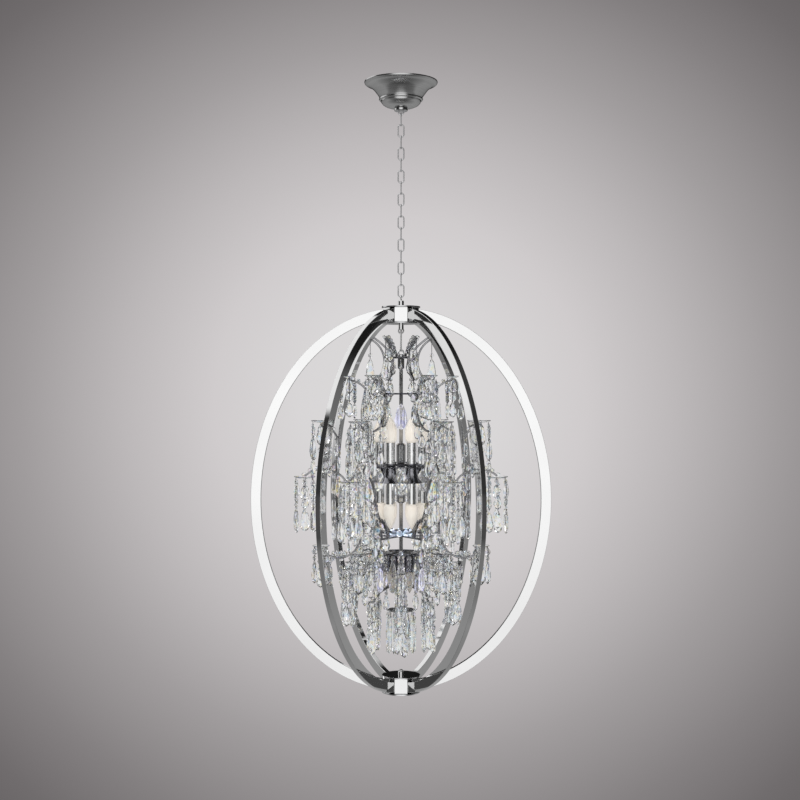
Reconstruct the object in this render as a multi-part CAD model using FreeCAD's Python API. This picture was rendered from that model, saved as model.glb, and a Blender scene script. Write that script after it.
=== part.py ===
# Chandelier: three oval rings of polished flat bar make a cage, and a tiered crystal light hangs inside it.
# Millimetres. The origin is the middle of the ceiling plane that the canopy's rim meets, and +Z is up.
import FreeCAD
import Part
import math
import os

Vector = FreeCAD.Vector

# Clearances: pieces that hang or turn on one another, and threads
slip = 0.3
thread_slip = 0.1

# Ceiling bar, which two screws hold under a junction box
bar_length = 112.0
bar_width = 20.0
bar_thickness = 3.0
box_screw_spacing = 88.9
box_screw_hole = 2.4
nipple_radius = 5.0
nipple_bore = 3.4
nut_radius = 8.5
nut_height = 4.0

# Canopy: a spun bell with a broad flared rim, a waist bead and a domed underside
canopy_radius = 95.0
canopy_rim = 5.0
canopy_waist_share = 0.58
canopy_waist_drop = 44.0
canopy_bead = 2.5
canopy_bead_height = 4.0
canopy_height = 68.0
canopy_foot = 20.0
canopy_wall = 1.4

# Collar ring and the loop whose barrel it turns on
barrel_radius = 13.5
barrel_height = 21.0
collar_radius = 17.5
collar_height = 8.0
loop_wire = 4.0
loop_radius = 6.5

# Chain
link_count = 16
link_wire = 3.0
link_length = 36.0
link_width = 18.0

# Oval cage rings, flat bar on edge; their height follows from the light and its room above the lower hub
ring_half_width = 390.0
light_room = 45.0
ring_bar_height = 26.0
ring_bar_thickness = 13.8

# Cage rings cross evenly at their hubs
ring_count = 3
bar_ends = 2 * ring_count
ring_gap = 180 / ring_count
half_gap = ring_gap / 2

# Cage hubs: a core with a side for each bar, wedge blocks between the bars, and a round plate above and below
hub_core = 14.0
hub_reach = 44.0
hub_height = 38.0
hub_plate_radius = 50.0
hub_plate = 3.5
stem_radius = 7.5
stem_length = 15.0
eye_stem_radius = 6.8
eye_stem_length = 16.0
shank_radius = 4.8
shank_length = 15.0
clamp_nut_radius = 7.6
clamp_nut_height = 9.0
clamp_bolt_stand = 4.0

# Long link between the cage's eye and the light's top loop
hanger_wire = 4.4
hanger_length = 57.0
hanger_width = 17.0

# Centre stem of the light, the turned covers on it, and the height of the hubs that carry arms
centre_radius = 5.0
centre_bore = 3.5
cover_radius = 8.6
cover_height = 27.0
knuckle_height = 13.0

# Scroll arms: flat strap, and each spider that carries a tier
strap_width = 7.0
strap_thickness = 5.0
spider_hub = 21.0
spider_thickness = 4.0
spider_arm = 8.0
arm_count = 6
between_arms = 180 / arm_count

# Crown tier: how far its spider hangs under the top loop, then the scroll's back, tip and foot.
# Each later tier states its step down from the tier or lamps above it.
crown_drop = 6.5
crown_back = 44.0
crown_tip = 80.0
crown_rise = 48.0
crown_foot = 66.0
crown_fall = 60.0

# Second tier: its step goes to the scroll's back, and the spider meets the scroll higher up
second_step = 128.5
second_back = 77.0
second_tip = 140.0
second_rise = 71.0
second_foot = 138.0
second_fall = 61.0

# Lower tier
lower_step = 184.0
lower_back = 105.0
lower_tip = 208.0
lower_reach_fall = 34.0
lower_foot = 129.0
lower_foot_rise = 46.0

# Main tier, the widest: each arm passes under the lamps, rises to a crest and falls to its dish
main_dip_radius = 98.0
main_dip_rise = 32.0
main_bend_radius = 131.0
main_bend_rise = 91.0
main_crest_radius = 190.0
main_crest_rise = 164.0
main_tip = 250.0
main_tip_rise = 147.0

# Third tier: scrolls that stand on the crests of the main arms
third_back = 161.0
third_back_rise = 209.0
third_tip = 207.0
third_rise = 282.0

# Basket tier: arched arms under the lower lamps
basket_step = 22.0
basket_peak = 95.0
basket_peak_rise = 26.0
basket_tip = 156.0
basket_fall = 12.0

# Bottom tier and the ring of long prisms
bottom_step = 64.0
bottom_tip = 82.0
bottom_fall = 36.0
bottom_bow = 12.0
prism_step = 64.0
prism_plate_radius = 38.0
prism_plate = 3.0
prism_circle = 34.0
prism_width = 15.0
prism_depth = 8.0
prism_length = 108.0
prism_count = 12
finial_radius = 9.0
finial_height = 16.0

# Two-way lamps round the middle: a sleeve and a bulb above the spider, and the same below it
lamp_count = 6
lamp_circle = 55.0
lamp_step = 151.0
lamp_disc = 15.6
lamp_disc_thickness = 4.0
bell_top = 14.5
bell_radius = 27.0
bell_height = 42.0
bell_wall = 1.2
sleeve_radius = 12.0
sleeve_wall = 1.2
sleeve_up = 54.0
sleeve_down = 96.0
bulb_radius = 17.0
bulb_length = 66.0
bulb_base = 6.5
bulb_shoulder = 10.4

# Lower lamps, which shine down
low_lamp_circle = 44.0
low_lamp_step = 44.0
cup_radius = 13.5
cup_height = 42.0
cup_wall = 1.5
low_bulb_radius = 13.0
low_bulb_length = 56.0

# Dishes at the arm tips and the cut stones that hang round them
dish_radius = 22.0
dish_height = 6.0
dish_strings = 3
stone_rim = 1.5
bead_width = 14.0
bead_length = 15.0
drop_width = 20.0
drop_depth = 10.0
drop_length = 42.0
long_drop_length = 52.0
centre_drop_width = 30.0
centre_drop_depth = 14.0
centre_drop_length = 60.0
centre_drop_circle = 20.0

# How finely the round pieces are cut
canopy_sides = 20
turned_sides = 16
small_sides = 8
lamp_sides = 8
stone_sides = 4
wire_sides = 5
nut_sides = 6
bend_steps = 3
loop_steps = 10
scroll_steps = 6
arch_steps = 4
joint_steps = 2
ring_steps = 20


# Points, paths and skins


def ring_points(radius, height, sides, depth=None, turn=0):
    """Corners of one level ring, or the single point where the radius is zero."""
    if radius == 0:
        return [Vector(0, 0, height)]
    across = radius if depth is None else depth
    angles = [turn + 2 * math.pi * i / sides for i in range(sides)]
    return [Vector(radius * math.cos(a), across * math.sin(a), height) for a in angles]


def skin(rings, closed=False):
    """A solid of flat faces through rings of points, its ends capped unless the rings close on themselves."""
    faces = []
    pairs = list(zip(rings, rings[1:]))
    if closed:
        pairs.append((rings[-1], rings[0]))
    sides = max(len(r) for r in rings)
    for low, high in pairs:
        for i in range(sides):
            j = (i + 1) % sides
            corners = [low[i % len(low)], low[j % len(low)], high[j % len(high)], high[i % len(high)]]
            outline = [p for k, p in enumerate(corners) if p is not corners[k - 1]]
            faces.append(Part.Face(Part.makePolygon(outline + outline[:1])))
    if not closed:
        for end in (rings[0], rings[-1]):
            if len(end) > 1:
                faces.append(Part.Face(Part.makePolygon(end + end[:1])))
    shell = Part.makeShell(faces)
    shell.sewShape()
    solid = Part.Solid(shell)
    if solid.Volume < 0:
        solid.reverse()
    return solid


def turned(profile, sides, hollow=False, turn=0):
    """A turned piece from (radius, height) pairs; a hollow one closes on itself away from the axis."""
    return skin([ring_points(r, z, sides, turn=turn) for r, z in profile], hollow)


def tube(radius, bore, top, bottom, sides):
    """A straight tube between two heights."""
    return turned([(radius, bottom), (radius, top), (bore, top), (bore, bottom)], sides, hollow=True)


def bore_for(radius, clearance, sides):
    """Corner radius of a bore whose flats clear a round piece."""
    return (radius + clearance) / math.cos(math.pi / sides)


def through_three(a, b, c, steps):
    """Points on the round arc from a through b to c, as (radius, height) pairs; half of the steps end at b."""
    ax, az = a
    bx, bz = b
    cx, cz = c
    d = 2 * (ax * (bz - cz) + bx * (cz - az) + cx * (az - bz))
    sa = ax * ax + az * az
    sb = bx * bx + bz * bz
    sc = cx * cx + cz * cz
    mx = (sa * (bz - cz) + sb * (cz - az) + sc * (az - bz)) / d
    mz = (sa * (cx - bx) + sb * (ax - cx) + sc * (bx - ax)) / d
    radius = math.hypot(ax - mx, az - mz)
    start = math.atan2(az - mz, ax - mx)
    middle = (math.atan2(bz - mz, bx - mx) - start) % (2 * math.pi)
    end = (math.atan2(cz - mz, cx - mx) - start) % (2 * math.pi)
    if middle > end:
        middle -= 2 * math.pi
        end -= 2 * math.pi
    half = steps // 2
    turns = [middle * i / half for i in range(half)]
    turns += [middle + (end - middle) * i / half for i in range(half + 1)]
    return [(mx + radius * math.cos(start + t), mz + radius * math.sin(start + t)) for t in turns]


def swept(path, section, closed=False):
    """A bar along a path in the XZ plane. The section's pairs lie across the path, and along Y."""
    count = len(path)
    rings = []
    for i, (x, z) in enumerate(path):
        before = path[i - 1] if i or closed else path[i]
        after = path[(i + 1) % count] if i < count - 1 or closed else path[i]
        into = math.atan2(z - before[1], x - before[0]) if before != path[i] else None
        out = math.atan2(after[1] - z, after[0] - x) if after != path[i] else None
        into = out if into is None else into
        out = into if out is None else out
        half = ((out - into + math.pi) % (2 * math.pi) - math.pi) / 2
        normal = into + half + math.pi / 2
        mitre = 1 / math.cos(half)
        rings.append([
            Vector(x + across * mitre * math.cos(normal), along, z + across * mitre * math.sin(normal))
            for across, along in section
        ])
    return skin(rings, closed)


def wire_section(wire):
    """Corners of a round wire's section."""
    angles = [math.pi * (2 * i + 1) / wire_sides for i in range(wire_sides)]
    return [(wire / 2 * math.cos(a), wire / 2 * math.sin(a)) for a in angles]


def strap_section(width, thickness):
    """Corners of a flat strap's section, its broad side along Y."""
    w = width / 2
    t = thickness / 2
    return [(-t, -w), (t, -w), (t, w), (-t, w)]


def oval_link(length, width, wire):
    """A link in the XZ plane round the origin, its bends flat across at both ends."""
    bend = (width - wire) / 2
    straight = (length - wire) / 2 - bend * math.cos(math.pi / 2 / bend_steps)
    path = []
    for side in (1, -1):
        angles = [math.pi * i / bend_steps for i in range(bend_steps + 1)]
        path += [(side * bend * math.cos(a), side * (straight + bend * math.sin(a))) for a in angles]
    return swept(path, wire_section(wire), closed=True)


def moved(shape, x=0, y=0, z=0, turn=0):
    """A copy turned about Z, in degrees, and then moved."""
    copy = shape.copy()
    copy.rotate(Vector(0, 0, 0), Vector(0, 0, 1), turn)
    copy.translate(Vector(x, y, z))
    return copy


def around(shapes, count, first=0):
    """Copies of some shapes, evenly spaced about Z from the angle first, in degrees."""
    return [moved(s, turn=first + 360 * i / count) for i in range(count) for s in shapes]


def save(name, solids):
    """Writes one node."""
    print(name, len(solids), all(s.isValid() for s in solids))
    Part.makeCompound(solids).exportStep("parts/" + name + ".step")


# Heights that follow from the sizes above

canopy_foot_z = -canopy_height
collar_z = canopy_foot_z - slip
barrel_bottom = collar_z - collar_height - slip
loop_centre = barrel_bottom - loop_wire / 2
loop_bottom = loop_centre - loop_radius
first_link_top = loop_bottom + (loop_wire + link_wire) / 2 + slip
link_reach = link_length - link_wire
link_pitch = link_reach - link_wire - slip
last_link_bottom = first_link_top - (link_count - 1) * link_pitch - link_reach
cage_loop_top = last_link_bottom + (loop_wire + link_wire) / 2 + slip
cage_loop_centre = cage_loop_top - loop_radius
stem_top = cage_loop_centre - loop_radius
top_hub_z = stem_top - stem_length
top_block_z = top_hub_z - hub_plate
top_hub_foot = top_block_z - hub_height - hub_plate
eye_centre = top_hub_foot - eye_stem_length - loop_wire / 2
eye_bottom = eye_centre - loop_radius
hanger_top = eye_bottom + (loop_wire + hanger_wire) / 2 + slip
hanger_bottom = hanger_top - hanger_length + hanger_wire
light_loop_top = hanger_bottom + (loop_wire + hanger_wire) / 2 + slip
light_loop_centre = light_loop_top - loop_radius
light_top = light_loop_centre - loop_radius

half_strap = strap_thickness / 2
half_spider = spider_thickness / 2
crown_z = light_top - crown_drop
second_z = crown_z - second_step
lamp_z = second_z - lamp_step
lower_z = lamp_z - lower_step
main_z = lower_z + half_spider + slip + knuckle_height / 2
low_lamp_z = lower_z - low_lamp_step
basket_z = low_lamp_z - basket_step
bottom_z = basket_z - bottom_step
prism_plate_z = bottom_z - prism_step

prism_foot = prism_plate_z - slip - prism_length
bottom_block_z = prism_foot - light_room - clamp_bolt_stand - clamp_nut_height - hub_plate
ring_top = top_block_z - slip
ring_foot = bottom_block_z - hub_height + slip
ring_centre = (ring_top + ring_foot) / 2
ring_lift = (ring_top - ring_foot) / 2


# Ceiling bar, canopy and what holds them


def mounting_bar():
    """A flat bar with two screw holes and a hole for the nipple."""
    corner = Vector(-bar_length / 2, -bar_width / 2, -bar_thickness)
    bar = Part.makeBox(bar_length, bar_width, bar_thickness, corner)
    for x in (-box_screw_spacing / 2, box_screw_spacing / 2):
        bar = bar.cut(Part.makeCylinder(box_screw_hole, bar_thickness, Vector(x, 0, -bar_thickness)))
    nipple_hole = bore_for(nipple_radius, thread_slip, small_sides)
    return bar.cut(turned([(nipple_hole, -2 * bar_thickness), (nipple_hole, bar_thickness)], small_sides))


def threaded_nipple():
    """The hollow rod that the supply wires pass through."""
    bottom = barrel_bottom + barrel_height - nut_height
    return tube(nipple_radius, nipple_bore, 0, bottom, small_sides)


def lock_nut(top):
    """A six-sided nut on the nipple."""
    bore = bore_for(nipple_radius, thread_slip, nut_sides)
    return tube(nut_radius, bore, top, top - nut_height, nut_sides)


canopy_waist = canopy_radius * canopy_waist_share
flare_share = 0.36
sink_share = 0.42
dome_share = 0.66


def canopy_outline(inset):
    """The bell's outline from rim to foot, set in by a wall."""
    rim = canopy_radius - inset
    waist = canopy_waist - inset
    flare_top = (rim, -canopy_rim)
    flare_foot = (waist, -canopy_waist_drop)
    sink = (canopy_waist_drop - canopy_rim) * sink_share
    flare_middle = (waist + (rim - waist) * flare_share, -canopy_rim - sink)
    bead_top = -canopy_waist_drop
    bead_foot = bead_top - canopy_bead_height
    dome_top = (waist - canopy_bead, bead_foot)
    dome_foot = (canopy_foot, -canopy_height + inset)
    dome_fall = (canopy_height + bead_foot) * dome_share
    dome_middle = (canopy_foot + (waist - canopy_foot) * dome_share, bead_foot - dome_fall)
    flare = through_three(flare_top, flare_middle, flare_foot, arch_steps)
    bead = [(waist + canopy_bead / 2, bead_top - canopy_bead_height / 2)]
    dome = through_three(dome_top, dome_middle, dome_foot, arch_steps)
    return flare + bead + dome


def canopy_shell():
    """A spun shell, open to the ceiling, with a bore that the loop's barrel passes."""
    bore = bore_for(barrel_radius, slip, canopy_sides)
    outside = [(canopy_radius, 0)] + canopy_outline(0) + [(bore, -canopy_height)]
    inside = [(canopy_radius - canopy_wall, 0)] + canopy_outline(canopy_wall)
    inside.append((bore, canopy_wall - canopy_height))
    return turned(outside + inside[::-1], canopy_sides, hollow=True)


def loop_ring(wire, radius):
    """A round loop in the XZ plane, flat across at its top and bottom."""
    corner = radius / math.cos(math.pi / loop_steps)
    angles = [math.pi * (2 * i + 1) / loop_steps for i in range(loop_steps)]
    path = [(corner * math.sin(a), corner * math.cos(a)) for a in angles]
    return swept(path, wire_section(wire), closed=True)


def canopy_loop():
    """A threaded barrel with the loop that carries the chain."""
    top = barrel_bottom + barrel_height
    socket = bore_for(nipple_radius, thread_slip, turned_sides)
    barrel = turned(
        [(0, barrel_bottom), (barrel_radius, barrel_bottom), (barrel_radius, top), (socket, top),
         (socket, top - 2 * nut_height), (0, top - 2 * nut_height)],
        turned_sides,
    )
    ring = moved(loop_ring(loop_wire, loop_radius), z=loop_centre)
    return barrel.fuse(ring).removeSplitter().Solids[0]


def collar_ring():
    """The ring that screws up the barrel and holds the canopy."""
    bore = bore_for(barrel_radius, slip, turned_sides)
    edge = collar_height / 4
    bottom = collar_z - collar_height
    profile = [
        (bore, bottom), (collar_radius - edge, bottom), (collar_radius, bottom + edge),
        (collar_radius, collar_z - edge), (collar_radius - edge, collar_z), (bore, collar_z),
    ]
    return turned(profile, turned_sides, hollow=True)


# Chain and the cage


def chain_link(index):
    """One link; odd places face the viewer, even ones stand edge on."""
    link = oval_link(link_length, link_width, link_wire)
    centre = first_link_top - index * link_pitch - link_reach / 2
    return moved(link, z=centre, turn=90 if index % 2 == 0 else 0)


def cage_loop():
    """Edge-on loop, its round stem, and the shank that screws into the hub."""
    ring = moved(loop_ring(loop_wire, loop_radius), turn=90, z=cage_loop_centre)
    foot = top_hub_z - hub_plate - shank_length
    profile = [(0, foot), (shank_radius, foot), (shank_radius, top_hub_z), (stem_radius, top_hub_z),
               (stem_radius, stem_top), (0, stem_top)]
    return turned(profile, small_sides).fuse(ring).removeSplitter().Solids[0]


def cage_eye():
    """Facing eye under the top hub, with the stem and shank above it."""
    ring = moved(loop_ring(loop_wire, loop_radius), z=eye_centre)
    stem_foot = top_hub_foot - eye_stem_length
    head = top_hub_foot + hub_plate + shank_length
    profile = [(0, stem_foot), (eye_stem_radius, stem_foot), (eye_stem_radius, top_hub_foot),
               (shank_radius, top_hub_foot), (shank_radius, head), (0, head)]
    return turned(profile, small_sides).fuse(ring).removeSplitter().Solids[0]


def hub_plates(block_top):
    """The round plates above and below one hub's blocks."""
    bore = bore_for(shank_radius, thread_slip, turned_sides)
    upper = tube(hub_plate_radius, bore, block_top + hub_plate, block_top, turned_sides)
    return [upper, moved(upper, z=-hub_height - hub_plate)]


def hub_core_piece(block_top):
    """The core; the bars' ends meet its flats."""
    corner = hub_core / math.cos(math.pi / bar_ends)
    bore = bore_for(shank_radius, thread_slip, bar_ends)
    foot = block_top - hub_height
    profile = [(corner, foot), (corner, block_top), (bore, block_top), (bore, foot)]
    return turned(profile, bar_ends, hollow=True, turn=math.pi / bar_ends)


def hub_block(block_top):
    """The wedge that fills the space between two bars, its outer face flat."""
    lean = math.tan(math.pi / bar_ends)
    offset = (ring_bar_thickness / 2 + slip) / math.cos(math.pi / bar_ends)
    inner = hub_core / math.cos(math.pi / bar_ends) + slip
    near = inner * lean - offset
    far = hub_reach * lean - offset
    plan = [(inner, -near), (hub_reach, -far), (hub_reach, far), (inner, near)]
    return skin([[Vector(x, y, z) for x, y in plan] for z in (block_top - hub_height, block_top)])


def half_ring():
    """One half of an oval ring at +X: flat bar bent on edge, straight where it enters each hub."""
    width = ring_half_width - ring_bar_height / 2
    height = (ring_lift - ring_bar_height / 2) / math.cos(math.pi / ring_steps)
    angles = [math.pi / 2 - math.pi * i / ring_steps for i in range(1, ring_steps)]
    path = [(width * math.cos(a), ring_centre + height * math.sin(a)) for a in angles]
    ends = [(hub_core, path[0][1]), (hub_core, path[-1][1])]
    section = strap_section(ring_bar_thickness, ring_bar_height)
    return swept(ends[:1] + path + ends[1:], section)


def bottom_clamp():
    """The bolt that draws the bottom hub together, with its round nut on top."""
    top = bottom_block_z + hub_plate
    foot = bottom_block_z - hub_height
    nut_top = top + clamp_nut_height
    end = nut_top + clamp_bolt_stand
    profile = [(0, foot), (shank_radius, foot), (shank_radius, top), (clamp_nut_radius, top),
               (clamp_nut_radius, nut_top), (shank_radius, nut_top), (shank_radius, end), (0, end)]
    return turned(profile, small_sides)


# The light's frame


def hanging_link():
    """The long link, edge on, between the eye and the light."""
    link = oval_link(hanger_length, hanger_width, hanger_wire)
    return moved(link, turn=90, z=(hanger_top + hanger_bottom) / 2)


def light_loop():
    """Facing loop on a small cap that screws on the centre stem."""
    ring = moved(loop_ring(loop_wire, loop_radius), z=light_loop_centre)
    cap = turned([(0, light_top - loop_wire), (cover_radius, light_top - loop_wire), (cover_radius, light_top),
                  (0, light_top + loop_wire / 2)], small_sides)
    return cap.fuse(ring).removeSplitter().Solids[0]


def centre_stem():
    """The long tube that carries every tier, with the wires inside it."""
    top = light_top - loop_wire
    return tube(centre_radius, centre_bore, top, prism_plate_z, small_sides)


def stem_cover(top, height, radius):
    """A turned cover on the stem, drawn in at both ends."""
    bore = bore_for(centre_radius, slip, small_sides)
    edge = (radius - bore) / 2
    profile = [(bore, top - height), (radius - edge, top - height), (radius, top - height + edge),
               (radius, top - edge), (radius - edge, top), (bore, top)]
    return turned(profile, small_sides, hollow=True)


def arm_hub(z, first=0):
    """A hub on the stem with a flat side before each arm."""
    bore = bore_for(centre_radius, slip, arm_count)
    corner = spider_hub / math.cos(math.pi / arm_count)
    top = z + knuckle_height / 2
    profile = [(corner, top - knuckle_height), (corner, top), (bore, top), (bore, top - knuckle_height)]
    return turned(profile, arm_count, hollow=True, turn=math.radians(first) + math.pi / arm_count)


def spider(z, reach, first=0):
    """A star of flat arms on a round hub, bored for the stem."""
    bore = bore_for(centre_radius, slip, small_sides)
    star = tube(spider_hub, bore, z + half_spider, z - half_spider, small_sides)
    start = (spider_hub + bore) / 2
    corner = Vector(start, -spider_arm / 2, z - half_spider)
    arm = Part.makeBox(reach - start, spider_arm, spider_thickness, corner)
    for copy in around([arm], arm_count, first):
        star = star.fuse(copy)
    return star.removeSplitter().Solids[0]


def reach_to(path, place):
    """How far a spider's arm goes out to the inner side of a scroll, at one corner of the scroll's path."""
    x, z = path[place]
    leans = [(x - x_next) / abs(z - z_next) for x_next, z_next in (path[place - 1], path[place + 1])]
    lean = (max(leans) - min(leans)) / 2
    return x - half_strap * math.hypot(1, lean) - half_spider * max(0, *leans) - slip


def strap_arm(path):
    """One scroll arm at +X from its path of (radius, height) pairs."""
    return swept(path, strap_section(strap_width, strap_thickness))


def scroll(z, back, tip, rise, foot, fall):
    """The path of a C-scroll that opens outwards above and below its back."""
    return through_three((tip, z + rise), (back, z), (foot, z - fall), scroll_steps)


def from_hub(path):
    """The path with its first point drawn out, so that the corner of the arm's end just clears the hub."""
    (x0, z0), (x1, z1) = path[:2]
    lean = math.atan2(z1 - z0, x1 - x0)
    out = half_strap * abs(math.sin(lean))
    return [(x0 + out, z0 + out * math.tan(lean))] + path[1:]


def main_path():
    """The main arm's line: under the lamps, up to its crest, and down to the tip."""
    start = (spider_hub + slip, main_z)
    dip = (main_dip_radius, main_z + main_dip_rise)
    bend = (main_bend_radius, main_z + main_bend_rise)
    crest = (main_crest_radius, main_z + main_crest_rise)
    tip = (main_tip, main_z + main_tip_rise)
    rise = through_three(start, dip, bend, arch_steps)
    return from_hub(rise) + through_three(bend, crest, tip, arch_steps)[1:]


crest_lean = math.pi / 6


def third_path():
    """A scroll that stands on a main arm's crest, its last stretch upright."""
    foot = main_z + main_crest_rise + half_strap / math.cos(crest_lean) + slip
    knee = (main_crest_radius, foot + strap_width)
    back = (third_back, main_z + third_back_rise)
    tip = (third_tip, main_z + third_rise)
    return through_three(tip, back, knee, scroll_steps) + [(main_crest_radius, foot)]


def lower_path():
    """A scroll that falls from its upper end, turns at its back and reaches out and down to its dish."""
    start = (lower_foot, lower_z + lower_foot_rise)
    return through_three(start, (lower_back, lower_z), (lower_tip, lower_z - lower_reach_fall), scroll_steps)


def basket_path():
    """An arch from its hub out over the basket."""
    start = (spider_hub + slip, basket_z)
    peak = (basket_peak, basket_z + basket_peak_rise)
    return from_hub(through_three(start, peak, (basket_tip, basket_z - basket_fall), arch_steps))


def bottom_path():
    """A short bowed arm near the stem's foot."""
    start = (spider_hub + slip, bottom_z)
    bow = ((spider_hub + bottom_tip) / 2, bottom_z - bottom_fall / 2 + bottom_bow)
    return from_hub(through_three(start, bow, (bottom_tip, bottom_z - bottom_fall), arch_steps))


def under_tip(path):
    """Where a string of stones hangs: under the last stretch of an arm, as a radius and a height."""
    (x0, z0), (x1, z1) = path[-2:]
    slope = (z1 - z0) / (x1 - x0)
    radius = x1 - half_strap
    return radius, z1 - half_strap * slope - half_strap * math.hypot(1, slope) - slip


# Lamps


def lamp_ring(pieces):
    """Six copies of a lamp's pieces on their circle."""
    return around([moved(p, x=lamp_circle) for p in pieces], lamp_count)


def sleeve(top, bottom):
    """A candle sleeve: a thin tube."""
    return tube(sleeve_radius, sleeve_radius - sleeve_wall, top, bottom, lamp_sides)


base_share = 0.24
widest_share = 0.32
taper_share = 0.5
point_share = 0.76


def bulb(base, radius, length, up):
    """A candle bulb with its screw base; up is 1 or -1."""
    point = radius * taper_share
    shares = [(bulb_base, -base_share), (bulb_shoulder, 0), (radius, widest_share),
              (point, point_share), (0, 1)]
    return turned([(r, base + up * length * s) for r, s in shares], lamp_sides)


bell_waist_share = 0.3


def bell():
    """A thin flared bell round the down sleeve, hung under the spider."""
    top = lamp_z - half_spider
    bore = bore_for(sleeve_radius, slip, lamp_sides)
    waist = bell_height * bell_waist_share
    inside = bell_radius - bell_wall
    profile = [(bell_top, top), (bell_top, top - waist), (bell_radius, top - bell_height),
               (inside, top - bell_height), (bore, top - waist), (bore, top)]
    return turned(profile, lamp_sides, hollow=True)


def cup():
    """A lower lamp's holder: a solid cup with a recess for the bulb's base."""
    top = low_lamp_z - half_spider
    foot = top - cup_height
    inside = cup_radius - cup_wall
    roof = foot + low_bulb_length * base_share + slip
    profile = [(0, top), (cup_radius, top), (cup_radius, foot), (inside, foot), (inside, roof), (0, roof)]
    return turned(profile, lamp_sides)


# Cut stones


drop_waist_share = 0.64
bead_waist_share = 0.5


def stone(width, depth, length, waist_share):
    """A cut stone that hangs from the origin, pointed at both ends."""
    rings = [
        ring_points(0, 0, stone_sides),
        ring_points(width / 2, -length * waist_share, stone_sides, depth / 2),
        ring_points(0, -length, stone_sides),
    ]
    return skin(rings)


def prism():
    """A long flat prism for the bottom ring."""
    end = prism_depth
    rings = [
        ring_points(0, 0, stone_sides),
        ring_points(prism_depth / 2, -end, stone_sides, prism_width / 2),
        ring_points(prism_depth / 2, end - prism_length, stone_sides, prism_width / 2),
        ring_points(0, -prism_length, stone_sides),
    ]
    return skin(rings)


def string(top, kinds, turn=0):
    """Stones one under another from a height, named by kind."""
    sizes = {
        "bead": (bead_width, bead_width, bead_length, bead_waist_share),
        "drop": (drop_width, drop_depth, drop_length, drop_waist_share),
        "long": (drop_width, drop_depth, long_drop_length, drop_waist_share),
        "centre": (centre_drop_depth, centre_drop_width, centre_drop_length, drop_waist_share),
    }
    pieces = []
    for kind in kinds:
        pieces.append(moved(stone(*sizes[kind]), z=top, turn=turn))
        top -= sizes[kind][2] + slip
    return pieces


def dish(z):
    """A shallow cut dish on an arm's tip."""
    return turned([(0, z), (dish_radius, z + dish_height), (0, z + dish_height)], lamp_sides)


def dish_drops(radius, z, kinds):
    """Strings round the rim of the dish at a tip, spread over its outer side."""
    reach = dish_radius * math.cos(math.pi / lamp_sides) - stone_rim
    top = z + dish_height * reach / dish_radius - slip - thread_slip
    pieces = []
    for i in range(dish_strings):
        angle = (i - (dish_strings - 1) / 2) * 2 * math.pi / (dish_strings + 1)
        for piece in string(top, kinds, turn=math.degrees(angle) + 90):
            pieces.append(moved(piece, x=radius + reach * math.cos(angle), y=reach * math.sin(angle)))
    return pieces


os.makedirs("parts", exist_ok=True)

save("mounting_bar", [mounting_bar()])
save("threaded_nipple", [threaded_nipple()])
save("lock_nuts", [lock_nut(-bar_thickness), lock_nut(barrel_bottom + barrel_height + nut_height)])
save("canopy_shell", [canopy_shell()])
save("canopy_loop", [canopy_loop()])
save("collar_ring", [collar_ring()])

save("chain_top_link", [chain_link(0)])
save("chain_links", [chain_link(i) for i in range(1, link_count)])

save("cage_loop", [cage_loop()])
save("cage_eye", [cage_eye()])
for end, block_top in (("top", top_block_z), ("bottom", bottom_block_z)):
    save(end + "_hub_plates", hub_plates(block_top))
    save(end + "_hub_core", [hub_core_piece(block_top)])
    save(end + "_hub_blocks", around([hub_block(block_top)], bar_ends, half_gap))
for name, angle in (("front", 0), ("left", ring_gap), ("right", -ring_gap)):
    save("ring_" + name, around([half_ring()], 2, first=angle))
save("bottom_clamp", [bottom_clamp()])

save("hanging_link", [hanging_link()])
save("light_loop", [light_loop()])
save("centre_stem", [centre_stem()])
second_path = scroll(second_z, second_back, second_tip, second_rise, second_foot, second_fall)
second_joint = second_path[joint_steps]
covers = [
    stem_cover(crown_z - half_spider - slip, cover_height, cover_radius),
    stem_cover(lamp_z + half_spider + sleeve_up + slip, sleeve_up, sleeve_radius),
    stem_cover(lamp_z - half_spider - slip, sleeve_down, sleeve_radius),
]
save("stem_covers", covers)

# Frame of each tier, on arms that start from the angle first
crown_path = scroll(crown_z, crown_back, crown_tip, crown_rise, crown_foot, crown_fall)
middle = scroll_steps // 2
save("crown_spider", [spider(crown_z, reach_to(crown_path, middle))])
save("crown_arms", around([strap_arm(crown_path)], arm_count))
save("second_spider", [spider(second_joint[1], reach_to(second_path, joint_steps))])
save("second_arms", around([strap_arm(second_path)], arm_count))
save("third_arms", around([strap_arm(third_path())], arm_count))
save("arm_hubs", [arm_hub(main_z), arm_hub(basket_z, between_arms), arm_hub(bottom_z, between_arms)])
save("main_arms", around([strap_arm(main_path())], arm_count))
save("lower_spider", [spider(lower_z, reach_to(lower_path(), middle))])
save("lower_arms", around([strap_arm(lower_path())], arm_count))
save("basket_arms", around([strap_arm(basket_path())], arm_count, between_arms))
save("bottom_arms", around([strap_arm(bottom_path())], arm_count, between_arms))
save("prism_plate", [tube(prism_plate_radius, bore_for(centre_radius, slip, small_sides),
                          prism_plate_z + prism_plate, prism_plate_z, small_sides)])
save("finial", [turned([(0, prism_plate_z - finial_height), (finial_radius, prism_plate_z - finial_height / 2),
                        (finial_radius, prism_plate_z - slip), (0, prism_plate_z - slip)], small_sides)])

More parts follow.
